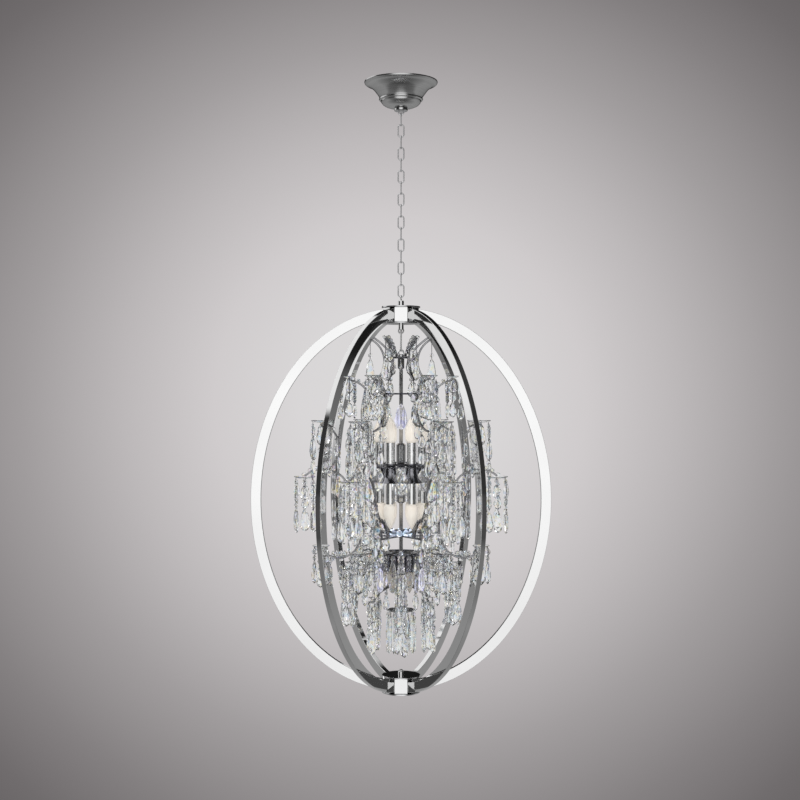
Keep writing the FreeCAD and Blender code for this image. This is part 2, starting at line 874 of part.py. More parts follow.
# Two-way lamps
plate_top = lamp_z + half_spider
plate_foot = lamp_z - half_spider
disc_top = plate_top + lamp_disc_thickness
sleeve_top = disc_top + sleeve_up
sleeve_foot = plate_foot - sleeve_down
socket_radius = (sleeve_radius - sleeve_wall) * math.cos(math.pi / lamp_sides) - slip
base_length = bulb_length * base_share
up_seat = sleeve_top - base_length - slip
down_seat = sleeve_foot + base_length + slip
save("lamp_spider", [spider(lamp_z, lamp_circle + sleeve_radius)])
save("lamp_discs", lamp_ring([turned([(lamp_disc, plate_top), (lamp_disc, disc_top)], lamp_sides)]))
save("lamp_bells", lamp_ring([bell()]))
save("sleeves_up", lamp_ring([sleeve(sleeve_top, disc_top)]))
save("sleeves_down", lamp_ring([sleeve(plate_foot, sleeve_foot)]))
sockets = [turned([(socket_radius, disc_top), (socket_radius, up_seat)], nut_sides),
           turned([(socket_radius, down_seat), (socket_radius, plate_foot)], nut_sides)]
save("lamp_sockets", lamp_ring(sockets))
save("bulbs_up", lamp_ring([bulb(sleeve_top, bulb_radius, bulb_length, 1)]))
save("bulbs_down", lamp_ring([bulb(sleeve_foot, bulb_radius, bulb_length, -1)]))

# Lower lamps
mouth = low_lamp_z - half_spider - cup_height
save("low_lamp_spider", [spider(low_lamp_z, low_lamp_circle + cup_radius - cup_wall)])
save("low_lamp_cups", around([moved(cup(), x=low_lamp_circle)], lamp_count))
low_bulb = bulb(mouth, low_bulb_radius, low_bulb_length, -1)
save("low_bulbs", around([moved(low_bulb, x=low_lamp_circle)], lamp_count))

# Dishes on the arms' tips, under them on the main tier, and the stones that hang round the dishes
second_tip_z = second_z + second_rise + half_strap + slip
third_tip_z = main_z + third_rise + half_strap + slip
main_tip_z = main_z + main_tip_rise - half_strap - slip - dish_height
lower_tip_z = lower_z - lower_reach_fall + half_strap + slip
places = (
    (second_tip_z, second_tip),
    (third_tip_z, third_tip),
    (main_tip_z, main_tip),
    (lower_tip_z, lower_tip),
)
save("tip_dishes", around([moved(dish(z), x=tip) for z, tip in places], arm_count))
save("second_stones", around(dish_drops(second_tip, second_tip_z, ("bead", "drop")), arm_count))
save("third_stones", around(dish_drops(third_tip, third_tip_z, ("bead", "drop", "long")), arm_count))
save("main_stones", around(dish_drops(main_tip, main_tip_z, ("bead", "drop", "bead", "long")), arm_count))
save("lower_stones", around(dish_drops(lower_tip, lower_tip_z, ("bead", "long")), arm_count))

# Stones that hang straight from arms, hubs and the plate
for name, path, kinds, first in (
    ("crown", crown_path[::-1], ("bead", "long"), 0),
    ("basket", basket_path(), ("bead", "drop", "long"), between_arms),
    ("bottom", bottom_path(), ("bead", "drop", "long"), between_arms),
):
    radius, top = under_tip(path)
    hung = [moved(p, x=radius) for p in string(top, kinds, turn=90)]
    save(name + "_stones", around(hung, arm_count, first))
centre_strings = string(second_joint[1] - half_spider - slip, ("bead", "bead", "centre"))
centre_strings += string(lamp_z - half_spider - slip, ("centre",))
save("centre_drops", around([moved(p, x=centre_drop_circle) for p in centre_strings], 1, -90))
hung_prism = moved(prism(), x=prism_circle, z=prism_plate_z - slip)
save("bottom_prisms", around([hung_prism], prism_count))
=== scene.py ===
# Orb cage crystal chandelier, dressed over its CAD frame. Sizes are in millimetres until a piece is finished.
import bmesh
import bpy
import math
import random
from mathutils import Matrix, Vector


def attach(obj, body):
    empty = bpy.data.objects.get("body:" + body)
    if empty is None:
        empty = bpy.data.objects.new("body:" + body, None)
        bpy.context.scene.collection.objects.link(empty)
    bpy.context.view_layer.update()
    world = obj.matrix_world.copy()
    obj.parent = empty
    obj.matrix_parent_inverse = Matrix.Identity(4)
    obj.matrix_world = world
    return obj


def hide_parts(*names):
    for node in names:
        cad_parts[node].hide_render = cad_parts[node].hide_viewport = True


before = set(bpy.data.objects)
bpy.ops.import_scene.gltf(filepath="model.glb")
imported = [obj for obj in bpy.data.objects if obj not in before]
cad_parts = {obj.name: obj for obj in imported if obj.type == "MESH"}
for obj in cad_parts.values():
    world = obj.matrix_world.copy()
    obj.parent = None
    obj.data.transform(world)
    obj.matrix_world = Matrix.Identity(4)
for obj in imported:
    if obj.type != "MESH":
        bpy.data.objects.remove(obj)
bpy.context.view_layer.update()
chance = random.Random(7)
allAround = math.tau
upAxis = (0, 0, 1)
centrePoint = (0, 0, 0)
toMetres = 0.001


# Materials

cloudRange = (0.3, 0.7)
spunLines = (6, 6, 900)
glassRoughest = 0.03
bulbPaint = {"scale": 40, "roughness": 0.35}


def newMaterial(name):
    mat = bpy.data.materials.new(name)
    mat.use_nodes = True
    tree = mat.node_tree
    shader = tree.nodes["Principled BSDF"]
    coords = tree.nodes.new("ShaderNodeTexCoord")
    return mat, tree, shader, coords.outputs["Object"]


def noiseInto(tree, place, scale, detail=2.0):
    noise = tree.nodes.new("ShaderNodeTexNoise")
    noise.inputs["Scale"].default_value = scale
    noise.inputs["Detail"].default_value = detail
    tree.links.new(place, noise.inputs["Vector"])
    return noise.outputs["Fac"]


def ramp(tree, factor, stops):
    node = tree.nodes.new("ShaderNodeValToRGB")
    while len(node.color_ramp.elements) < len(stops):
        node.color_ramp.elements.new(0.5)
    for element, (where, colour) in zip(node.color_ramp.elements, stops):
        element.position = where
        element.color = (*colour, 1)
    tree.links.new(factor, node.inputs["Fac"])
    return node.outputs["Color"]


def span(tree, factor, low, high, fromLow=cloudRange[0], fromHigh=cloudRange[1]):
    node = tree.nodes.new("ShaderNodeMapRange")
    for socket, value in (("From Min", fromLow), ("From Max", fromHigh), ("To Min", low), ("To Max", high)):
        node.inputs[socket].default_value = value
    tree.links.new(factor, node.inputs["Value"])
    return node.outputs["Result"]


def maths(tree, kind, a, b=None):
    node = tree.nodes.new("ShaderNodeMath")
    node.operation = kind
    for socket, value in zip(node.inputs, (a, b)):
        if isinstance(value, (int, float)):
            socket.default_value = value
        elif value is not None:
            tree.links.new(value, socket)
    return node.outputs["Value"]


def twoTone(tree, cloud, dark, light):
    return ramp(tree, cloud, list(zip(cloudRange, (dark, light))))


def paintMetal(tree, shader, cloud, dark, light, smoothest, roughest):
    shader.inputs["Metallic"].default_value = 1
    tree.links.new(twoTone(tree, cloud, dark, light), shader.inputs["Base Color"])
    tree.links.new(span(tree, cloud, smoothest, roughest), shader.inputs["Roughness"])


def metal(name, dark, light, smoothest, roughest, scale):
    mat, tree, shader, place = newMaterial(name)
    paintMetal(tree, shader, noiseInto(tree, place, scale), dark, light, smoothest, roughest)
    return mat


def spunMetal(name, dark, light, smoothest, roughest):
    # fine rings round the axis
    mat, tree, shader, place = newMaterial(name)
    stretch = tree.nodes.new("ShaderNodeMapping")
    stretch.inputs["Scale"].default_value = spunLines
    tree.links.new(place, stretch.inputs["Vector"])
    lines = noiseInto(tree, stretch.outputs["Vector"], 1.0, 1.0)
    paintMetal(tree, shader, lines, dark, light, smoothest, roughest)
    return mat


def clearGlass(name, patch, tints, index, glow=0.0):
    # cut glass: clear, with small painted flashes in colour that stand for light split by the facets, and a
    # faint painted glow in the same colours, though the stones are no lamps
    mat, tree, shader, place = newMaterial(name)
    cells = tree.nodes.new("ShaderNodeTexVoronoi")
    cells.inputs["Scale"].default_value = 1 / patch
    tree.links.new(place, cells.inputs["Vector"])
    pick = tree.nodes.new("ShaderNodeSeparateColor")
    tree.links.new(cells.outputs["Color"], pick.inputs["Color"])
    tint = ramp(tree, pick.outputs["Red"], tints)
    tree.links.new(tint, shader.inputs["Base Color"])
    tree.links.new(tint, shader.inputs["Emission Color"])
    shader.inputs["Emission Strength"].default_value = glow
    tree.links.new(span(tree, pick.outputs["Green"], 0.0, glassRoughest, 0, 1), shader.inputs["Roughness"])
    shader.inputs["Transmission Weight"].default_value = 1
    shader.inputs["IOR"].default_value = index
    return mat


def bulbGlass(name, edge, middle, glow):
    # frosted glass that glows a little
    mat, tree, shader, place = newMaterial(name)
    warm = twoTone(tree, noiseInto(tree, place, bulbPaint["scale"]), edge, middle)
    tree.links.new(warm, shader.inputs["Base Color"])
    tree.links.new(warm, shader.inputs["Emission Color"])
    shader.inputs["Emission Strength"].default_value = glow
    shader.inputs["Roughness"].default_value = bulbPaint["roughness"]
    return mat


whitePatch = (1.0, 1.0, 1.0)
# Painted flashes: mostly white cells, with a few coloured ones for light split by the facets
flashTints = [
    (0.0, whitePatch), (0.68, (0.98, 0.98, 0.99)), (0.74, (1.0, 0.96, 0.62)), (0.79, (1.0, 0.86, 0.72)),
    (0.84, (0.8, 0.76, 1.0)), (0.91, (0.64, 0.84, 1.0)), (0.95, (0.84, 1.0, 0.94)), (1.0, whitePatch),
]
# Painted flashes, stronger: white cells among coloured ones that stand for split light
accentFlashTints = [
    (0.0, whitePatch), (0.25, (1.0, 0.89, 0.35)), (0.42, (0.62, 0.56, 1.0)), (0.58, whitePatch),
    (0.72, (0.35, 0.74, 1.0)), (0.86, (1.0, 0.64, 0.52)), (1.0, whitePatch),
]
violetTints = [
    (0.0, (0.72, 0.74, 1.0)), (0.35, whitePatch), (0.6, (0.6, 0.6, 0.95)), (0.85, whitePatch),
    (1.0, (1.0, 0.94, 0.8)),
]
# Painted blue glints for the hub studs, which also get the strongest painted glow
blueGlintTints = [
    (0.0, (0.9, 0.95, 1.0)), (0.3, (0.62, 0.82, 1.0)), (0.6, (0.74, 0.78, 1.0)), (0.85, whitePatch),
    (1.0, (1.0, 0.9, 0.8)),
]
ringChrome = metal("ringChrome", (0.77, 0.77, 0.77), (0.81, 0.81, 0.81), 0.03, 0.06, 5)
chainChrome = metal("chainChrome", (0.62, 0.62, 0.63), (0.78, 0.78, 0.79), 0.12, 0.22, 60)
# Painted shade: the arms' chrome is given a darker colour than the frame's, for the dark it mirrors
shadedArmChrome = metal("shadedArmChrome", (0.26, 0.26, 0.27), (0.42, 0.42, 0.43), 0.08, 0.16, 30)
frameChrome = metal("frameChrome", (0.6, 0.6, 0.61), (0.8, 0.8, 0.81), 0.06, 0.14, 30)
# Painted shade: chrome given a dark colour, for chrome parts that look black where they mirror dark
# surroundings
shadedChrome = metal("shadedChrome", (0.16, 0.16, 0.18), (0.3, 0.3, 0.32), 0.08, 0.18, 40)
satinNickel = spunMetal("satinNickel", (0.5, 0.5, 0.5), (0.6, 0.6, 0.6), 0.13, 0.2)
plainSteel = metal("plainSteel", (0.4, 0.4, 0.41), (0.55, 0.55, 0.56), 0.25, 0.4, 80)
paleSteel = metal("paleSteel", (0.62, 0.62, 0.62), (0.74, 0.74, 0.74), 0.26, 0.36, 80)
paleSleeve = metal("paleSleeve", (0.86, 0.86, 0.86), (0.94, 0.94, 0.94), 0.2, 0.28, 60)
# Painted glow: every glass here but the dish glass emits a little light in its own colours, though none is a
# lamp; the number after the index, where given, is that glow
stoneGlass = clearGlass("stoneGlass", 0.006, flashTints, 1.45, 0.003)
strongerGlowGlass = clearGlass("strongerGlowGlass", 0.006, flashTints, 1.45, 0.013)
litGlass = clearGlass("litGlass", 0.005, flashTints, 1.45, 0.05)
accentGlass = clearGlass("accentGlass", 0.008, accentFlashTints, 1.4, 0.05)
dishGlass = clearGlass("dishGlass", 0.009, flashTints, 1.3)
blueGlintGlass = clearGlass("blueGlintGlass", 0.008, blueGlintTints, 1.4, 0.32)
violetGlass = clearGlass("violetGlass", 0.009, violetTints, 1.4, 0.1)
warmBulb = bulbGlass("warmBulb", (0.98, 0.9, 0.8), (1.0, 0.95, 0.87), 0.28)
dimBulb = bulbGlass("dimBulb", (0.62, 0.57, 0.5), (0.72, 0.68, 0.6), 0.08)
print("materials ready")


# Making pieces

# Edges that bend by fewer degrees than this are shaded smooth
smoothAll, crisp = 80, 10
# Sides round a turned piece
turnedSides = {"canopy": 96, "plate": 64, "collar": 48, "bell": 40, "post": 32, "bulb": 24, "smallDish": 20}


def finishPiece(name, bm, body, material, slot, nodes=(), sharp=35, thickness=0.0, bevel=0.0, segments=2):
    bmesh.ops.scale(bm, vec=(toMetres,) * 3, verts=bm.verts[:])
    mesh = bpy.data.meshes.new(name)
    bm.to_mesh(mesh)
    bm.free()
    mesh.materials.append(material)
    mesh.shade_smooth()
    mesh.set_sharp_from_angle(angle=math.radians(sharp))
    piece = bpy.data.objects.new(name, mesh)
    bpy.context.scene.collection.objects.link(piece)
    if thickness:
        shell = piece.modifiers.new("wall", "SOLIDIFY")
        shell.thickness = thickness * toMetres
        shell.offset = 0
        shell.use_even_offset = True
    if bevel:
        soft = piece.modifiers.new("softEdges", "BEVEL")
        soft.width = bevel * toMetres
        soft.segments = segments
        soft.limit_method = "ANGLE"
        soft.angle_limit = math.radians(sharp)
        soft.harden_normals = True
    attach(piece, body)
    if nodes:
        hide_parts(*nodes)


def everything(bm):
    return bm.verts[:] + bm.edges[:] + bm.faces[:]


def cleaned(bm, gap=0.01):
    bmesh.ops.remove_doubles(bm, verts=bm.verts[:], dist=gap)
    bmesh.ops.recalc_face_normals(bm, faces=bm.faces[:])
    return bm


def spunFrom(pairs, steps, closed=False):
    # a turned shape: its outline's radius and height pairs spun round the stem
    bm = bmesh.new()
    dots = [bm.verts.new((r, 0, z)) for r, z in pairs]
    lines = [bm.edges.new(pair) for pair in zip(dots, dots[1:])]
    if closed:
        lines.append(bm.edges.new((dots[-1], dots[0])))
    bmesh.ops.spin(bm, geom=dots + lines, cent=centrePoint, axis=upAxis, angle=allAround, steps=steps,
                   use_merge=True)
    return cleaned(bm)


def eased(pairs, steps):
    # a smooth line through radius and height pairs
    dots = [Vector(p) for p in pairs]
    line = [dots[0]]
    for i in range(len(dots) - 1):
        before = dots[max(i - 1, 0)]
        after = dots[min(i + 2, len(dots) - 1)]
        a, b = dots[i], dots[i + 1]
        for k in range(1, steps + 1):
            t = k / steps
            into, out = (b - before) / 2, (after - a) / 2
            line.append((2 * t**3 - 3 * t**2 + 1) * a + (t**3 - 2 * t**2 + t) * into
                        + (3 * t**2 - 2 * t**3) * b + (t**3 - t**2) * out)
    return [tuple(p) for p in line]


def shifted(bm, x=0.0, y=0.0, z=0.0):
    bmesh.ops.translate(bm, vec=(x, y, z), verts=bm.verts[:])
    return bm


def swung(bm, degrees):
    turn = Matrix.Rotation(math.radians(degrees), 3, "Z")
    bmesh.ops.rotate(bm, cent=centrePoint, matrix=turn, verts=bm.verts[:])
    return bm


def copiedAround(bm, count, first=0.0):
    swung(bm, first)
    turn = allAround * (count - 1) / count
    bmesh.ops.spin(bm, geom=everything(bm), cent=centrePoint, axis=upAxis, angle=turn, steps=count - 1,
                   use_duplicate=True)
    return bm


def copiedAt(bm, angles):
    # the shape itself stands at the first angle
    mesh = bpy.data.meshes.new("part")
    bm.to_mesh(mesh)
    for angle in angles[1:]:
        copy = mesh.copy()
        copy.transform(Matrix.Rotation(math.radians(angle - angles[0]), 4, "Z"))
        bm.from_mesh(copy)
        bpy.data.meshes.remove(copy)
    bpy.data.meshes.remove(mesh)
    return swung(bm, angles[0])


def joined(*shapes):
    bm = bmesh.new()
    for shape in shapes:
        mesh = bpy.data.meshes.new("part")
        shape.to_mesh(mesh)
        shape.free()
        bm.from_mesh(mesh)
        bpy.data.meshes.remove(mesh)
    return bm


def post(radius, foot, top, footEdge=0.0, topEdge=0.0):
    # a turned post, bevelled where an edge is given
    lower = [(radius - footEdge, foot), (radius, foot + footEdge)] if footEdge else [(radius, foot)]
    upper = [(radius, top - topEdge), (radius - topEdge, top)] if topEdge else [(radius, top)]
    return spunFrom([(0, foot)] + lower + upper + [(0, top)], turnedSides["post"])


def wireLoop(radius, wire, straight=0.0, steps=24, around=10):
    # a round loop in the XZ plane, or a long link when its sides have a straight stretch
    bm = bmesh.new()
    section = bmesh.ops.create_circle(bm, segments=around, radius=wire / 2,
                                      matrix=Matrix.Translation((radius, 0, 0)))["verts"]
    bmesh.ops.rotate(bm, cent=centrePoint, matrix=Matrix.Rotation(math.pi / steps, 3, "Y"), verts=section)
    bmesh.ops.spin(bm, geom=everything(bm), cent=centrePoint, axis=(0, 1, 0), angle=allAround, steps=steps,
                   use_merge=True)
    for side in (1, -1):
        half = [v for v in bm.verts if (v.co.z > 0) == (side > 0)]
        bmesh.ops.translate(bm, vec=(0, 0, side * straight / 2), verts=half)
    return cleaned(bm)


def sixOf(name, shape, reach, material, slot, nodes=(), first=0.0, **look):
    # six copies round the light's stem
    ring = copiedAround(shifted(shape, x=reach), 6, first)
    finishPiece(name, ring, "light", material, slot, nodes, **look)


# Canopy, collar and the loop on its barrel

canopy = {
    "outline": [(95, 0), (95, -3), (92, -6.5), (84, -10), (73, -18), (64, -29), (57, -39), (55, -43)],
    "bead": [(56.6, -44), (57.4, -46), (56.4, -48), (53, -48.6)],
    "dome": [(52.5, -49), (51, -54), (45, -60.5), (34, -65.5), (20, -68)],
    "wall": 1.4, "bore": 13.9, "outerSteps": 4, "innerSteps": 3, "sharp": 50,
}
collarRing = {"radius": 17.5, "top": -68.3, "height": 8.0, "bore": 13.8, "edge": 1.5}
barrel = {"radius": 13.5, "top": -55.6, "bottom": -76.6, "edge": 1.0, "loop": 6.5, "wire": 4.0}


def makeCanopy():
    wall, bore, foot = canopy["wall"], canopy["bore"], canopy["dome"][-1][1]
    outer = eased(canopy["outline"], canopy["outerSteps"]) + canopy["bead"]
    outer += eased(canopy["dome"], canopy["outerSteps"]) + [(bore, foot)]
    inner = [(r - wall, z) for r, z in eased(canopy["outline"], canopy["innerSteps"])]
    inner += [(r - wall, z + wall) for r, z in eased(canopy["dome"], canopy["innerSteps"])]
    inner.append((bore, foot + wall))
    bell = spunFrom(outer + inner[::-1], turnedSides["canopy"], closed=True)
    finishPiece("canopyBell", bell, "canopy", satinNickel, "satin_nickel", ["canopy_shell"],
                sharp=canopy["sharp"])


def makeCollar():
    top, high, r, bore, edge = (collarRing[k] for k in ("top", "height", "radius", "bore", "edge"))
    foot = top - high
    ring = spunFrom([(bore, top), (r - edge, top), (r, top - edge), (r, foot + edge), (r - edge, foot),
                     (bore, foot)], turnedSides["collar"], closed=True)
    finishPiece("collar", ring, "collar", satinNickel, "satin_nickel", ["collar_ring"])
    foot, edge = barrel["bottom"], barrel["edge"]
    body = post(barrel["radius"], foot, barrel["top"], edge, edge)
    loop = shifted(wireLoop(barrel["loop"], barrel["wire"]), z=foot - barrel["wire"] / 2)
    finishPiece("barrelAndLoop", joined(body, loop), "canopy", chainChrome, "chain_chrome", ["canopy_loop"])


# Chain

chain = {"links": 16, "wire": 3.0, "length": 36.0, "width": 18.0, "top": -81.3, "pitch": 29.7, "steps": 16,
         "around": 8}


def chainLink(index):
    radius = (chain["width"] - chain["wire"]) / 2
    link = wireLoop(radius, chain["wire"], chain["length"] - chain["width"], chain["steps"], chain["around"])
    reach = chain["length"] - chain["wire"]
    shifted(link, z=chain["top"] - index * chain["pitch"] - reach / 2)
    return swung(link, 90 if index % 2 == 0 else 0)


def makeChain():
    finishPiece("topLink", chainLink(0), "top_link", chainChrome, "chain_chrome", ["chain_top_link"],
                sharp=smoothAll)
    links = joined(*[chainLink(i) for i in range(1, chain["links"])])
    finishPiece("chainLinks", links, "chain", chainChrome, "chain_chrome", ["chain_links"], sharp=smoothAll)


# Cage: three oval rings of flat bar, and the hubs where they cross

rings = {"halfWidth": 390.0, "halfHeight": 496.9, "bar": 26.0, "thick": 13.8, "centre": -1084.7, "sides": 192,
         "edge": 0.7}
hubs = {"reach": 44.0, "height": 38.0, "plateRadius": 50.0, "plate": 3.5, "core": 14.0, "gap": 0.3,
        "blockTops": (-587.5, -1543.9), "bore": 4.9, "blockEdge": 2.0, "plateEdge": 0.6}


def ovalRing():
    bm = bmesh.new()
    loops = []
    for inset in (0, rings["bar"]):
        wide, high = rings["halfWidth"] - inset, rings["halfHeight"] - inset
        upright = Matrix.Rotation(math.pi / 2, 4, "X") @ Matrix.Diagonal((wide, high, 1, 1))
        made = bmesh.ops.create_circle(bm, segments=rings["sides"], radius=1, matrix=upright)
        loops += [e for e in bm.edges if e.verts[0] in made["verts"]]
    bmesh.ops.bridge_loops(bm, edges=loops)
    core = hubs["core"]
    inside = [f for f in bm.faces if abs(f.calc_center_median().x) < core]
    bmesh.ops.delete(bm, geom=inside, context="FACES")
    return shifted(bm, z=rings["centre"])


def makeRings():
    for name, angle in (("front", 0), ("left", 60), ("right", -60)):
        ring = swung(ovalRing(), angle)
        finishPiece(name + "Ring", ring, "cage", ringChrome, "ring_chrome", ["ring_" + name],
                    thickness=rings["thick"], bevel=rings["edge"])


def hubBlock(top):
    # a wedge between two bars, flat on its outer face
    halfWedge = math.pi / 6
    lean = math.tan(halfWedge)
    offset = (rings["thick"] / 2 + hubs["gap"]) / math.cos(halfWedge)
    bm = bmesh.new()
    near, far = hubs["core"] / math.cos(halfWedge) + hubs["gap"], hubs["reach"]
    plan = [(near, offset - near * lean), (far, offset - far * lean), (far, far * lean - offset),
            (near, near * lean - offset)]
    face = bm.faces.new([bm.verts.new((x, y, top)) for x, y in plan])
    lower = bmesh.ops.extrude_face_region(bm, geom=[face])["geom"]
    feet = [g for g in lower if isinstance(g, bmesh.types.BMVert)]
    bmesh.ops.translate(bm, vec=(0, 0, -hubs["height"]), verts=feet)
    bmesh.ops.recalc_face_normals(bm, faces=bm.faces[:])
    return bm


def hubPlate(foot):
    bore, r, top = hubs["bore"], hubs["plateRadius"], foot + hubs["plate"]
    return spunFrom([(bore, foot), (r, foot), (r, top), (bore, top)], turnedSides["plate"], closed=True)


def makeHubs():
    for name, top in zip(("top", "bottom"), hubs["blockTops"]):
        blocks = copiedAround(hubBlock(top), 6, 30)
        finishPiece(name + "HubBlocks", blocks, "cage", ringChrome, "hub_chrome", [name + "_hub_blocks"],
                    bevel=hubs["blockEdge"])
        plates = joined(hubPlate(top), hubPlate(top - hubs["height"] - hubs["plate"]))
        finishPiece(name + "HubPlates", plates, "cage", frameChrome, "hub_chrome", [name + "_hub_plates"],
                    bevel=hubs["plateEdge"])


# A post is given by its radius, top and foot, and the nut by its radius, height, bolt and the bolt's stand
stems = {"loopRadius": 6.5, "wire": 4.0, "topLoop": -562.5, "topStem": (7.5, -569.0, -584.0), "eye": -647.0,
         "eyeStem": (6.8, -629.0, -645.0), "nut": (7.6, 9.0, 4.8, 4.0), "edge": 1.0}


def makeStems():
    edge = stems["edge"]
    r, top, foot = stems["topStem"]
    loop = swung(wireLoop(stems["loopRadius"], stems["wire"]), 90)
    shifted(loop, z=stems["topLoop"])
    finishPiece("cageLoop", joined(post(r, foot, top, topEdge=edge), loop), "cage", ringChrome, "hub_chrome",
                ["cage_loop"])
    r, top, foot = stems["eyeStem"]
    eye = shifted(wireLoop(stems["loopRadius"], stems["wire"]), z=stems["eye"])
    finishPiece("cageEye", joined(post(r, foot, top, footEdge=edge), eye), "cage", ringChrome, "hub_chrome",
                ["cage_eye"])
    r, high, bolt, stand = stems["nut"]
    base = hubs["blockTops"][1] + hubs["plate"]
    crest, tip = base + high, base + high + stand
    nut = spunFrom([(0, base), (r, base), (r, crest - edge), (r - edge, crest), (bolt, crest),
                    (bolt, tip - edge), (bolt - edge, tip), (0, tip)], turnedSides["post"])
    finishPiece("bottomNut", nut, "cage", ringChrome, "hub_chrome", ["bottom_clamp"])


# Long link, and the light's loop on its cap

hanger = {"length": 57.0, "width": 17.0, "wire": 4.4, "middle": -673.05}
centre = {"loop": -703.6, "top": -710.1, "cap": [(0, -4), (8.6, -4), (8.6, -1), (6.6, 0), (0, 1)]}


def makeHanger():
    radius = (hanger["width"] - hanger["wire"]) / 2
    link = swung(wireLoop(radius, hanger["wire"], hanger["length"] - hanger["width"]), 90)
    shifted(link, z=hanger["middle"])
    finishPiece("longLink", link, "link", ringChrome, "hub_chrome", ["hanging_link"], sharp=smoothAll)
    cap = spunFrom([(r, centre["top"] + rise) for r, rise in centre["cap"]], turnedSides["post"])
    loop = shifted(wireLoop(stems["loopRadius"], stems["wire"]), z=centre["loop"])
    finishPiece("lightLoop", joined(cap, loop), "light", frameChrome, "frame_chrome", ["light_loop"])


makeCanopy()
makeCollar()
makeChain()
makeRings()
makeHubs()
makeStems()
makeHanger()
print("canopy, chain and cage ready")


# Scroll arms: a strap's end edge is spun along the round arcs of its line

strap = {"width": 7.0, "thick": 5.0, "steps": 14, "round": 1.8, "roundSteps": 3}


def arcCentre(a, b, c):
    ax, az, bx, bz, cx, cz = *a, *b, *c
    d = 2 * (ax * (bz - cz) + bx * (cz - az) + cx * (az - bz))
    sa, sb, sc = ax * ax + az * az, bx * bx + bz * bz, cx * cx + cz * cz
    return ((sa * (bz - cz) + sb * (cz - az) + sc * (az - bz)) / d,
            (sa * (cx - bx) + sb * (ax - cx) + sc * (bx - ax)) / d)


def sweepAngle(centre, a, b, c):
    start = math.atan2(a[1] - centre[1], a[0] - centre[0])
    middle = (math.atan2(b[1] - centre[1], b[0] - centre[0]) - start) % allAround
    end = (math.atan2(c[1] - centre[1], c[0] - centre[0]) - start) % allAround
    return end if middle < end else end - allAround


def scrollArm(line, width=strap["width"], steps=strap["steps"]):
    # every second point of the line ends an arc
    bm = bmesh.new()
    x, z = line[0]
    ends = [bm.verts.new((x, side * width / 2, z)) for side in (-1, 1)]
    edge = [bm.edges.new(ends)]
    for a, b, c in zip(line[0::2], line[1::2], line[2::2]):
        middle = arcCentre(a, b, c)
        made = bmesh.ops.spin(bm, geom=edge, cent=(middle[0], 0, middle[1]), axis=(0, 1, 0),
                              angle=-sweepAngle(middle, a, b, c), steps=steps)
        edge = [g for g in made["geom_last"] if isinstance(g, bmesh.types.BMEdge)]
    return cleaned(bm)


def smallArms(name, line, nodes, first=0.0):
    sixOf(name, scrollArm(line), 0, shadedArmChrome, "frame_chrome", nodes, first, thickness=strap["thick"],
          bevel=strap["round"], segments=strap["roundSteps"])


tiers = {
    "crown": {"tip": (80, -668.6), "back": (44, -716.6), "foot": (66, -776.6)},
    "second": {"tip": (140, -774.1), "back": (77, -845.1), "foot": (138, -906.1)},
    "lower": {"start": (129, -1134.1), "back": (105, -1180.1), "tip": (208, -1214.1)},
    "main": {"hub": (22.4, -1171.3), "dip": (98, -1139.3), "bend": (131, -1080.3), "crest": (190, -1007.3),
             "tip": (250, -1024.3)},
    "third": {"tip": (207, -889.3), "back": (161, -962.3), "foot": (190, -1004.5)},
    "basket": {"hub": (22.5, -1246.1), "peak": (95, -1220.1), "tip": (156, -1258.1)},
    "bottom": {"hub": (22.5, -1310.1), "bow": (51.5, -1316.1), "tip": (82, -1346.1)},
}
innerCrown = [(72, -664.5), (47, -684), (22, -712)]
arch = {"reach": 98.0, "half": 19.0, "top": -1132.3, "drop": 42.0, "shoulder": (12.0, 16.0), "thick": 7.0,
        "width": 6.0, "steps": 6, "edge": 1.2}
armLines = {name: list(places.values()) for name, places in tiers.items()}
armTurns = {name: 30 if name in ("basket", "bottom") else 0 for name in tiers}


def makeArms():
    for name, line in armLines.items():
        smallArms(name + "Arms", line, [name + "_arms"], armTurns[name])
        if name == "crown":
            smallArms("crownInnerArms", innerCrown, [])


def makeArches():
    # a dark arch sits astride each main arm
    half, top = arch["half"], arch["top"]
    foot = top - arch["drop"]
    aside, down = arch["shoulder"]
    line = [(-half, foot), (-aside, top - down), (0, top), (aside, top - down), (half, foot)]
    bend = swung(scrollArm(line, arch["width"], arch["steps"]), 90)
    sixOf("mainArches", bend, arch["reach"], shadedChrome, "dark_chrome", thickness=arch["thick"],
          bevel=arch["edge"])


makeArms()
makeArches()
print("scroll arms ready")


# Two-way lamps

# The bell's rows are radius and drop, and a bulb is its radius, length and neck
lamps = {"circle": 55.0, "plate": -996.1, "halfPlate": 2.0, "disc": (15.6, 4.0), "discEdge": 0.8,
         "sleeve": 12.0, "wall": 1.2, "up": 54.0, "down": 96.0,
         "bell": [(12.6, 0), (14.5, 6), (15.5, 16), (19, 28), (27, 42)], "bellSteps": 5, "bellOpen": 4,
         "bellSharp": 60, "bulb": (17.0, 66.0, 6.5)}
# The cup's rows are radius and height over its mouth
lowLamps = {"circle": 44.0, "mouth": -1268.1, "bulb": (13.0, 56.0, 6.5),
            "cup": [(0, 42), (9.5, 42), (12.5, 40), (13.5, 34), (13.5, 0), (12, 0), (12, 14), (0, 14)]}
# A bulb's outline and its neck, as shares of its radius and length
bulbShares = ((0.62, 0), (0.9, 0.08), (1, 0.3), (0.9, 0.52), (0.54, 0.76), (0.2, 0.93), (0, 1))
neckShares = (-0.24, -0.02)
bulbSteps = 4


def bulbShape(base, size, up):
    radius, length, neck = size
    low, high = neckShares
    glass = eased([(radius * wide, share) for wide, share in bulbShares], bulbSteps)
    pairs = [(0, low), (neck, low), (neck, high)] + glass
    return spunFrom([(max(r, 0), base + up * length * share) for r, share in pairs], turnedSides["bulb"])


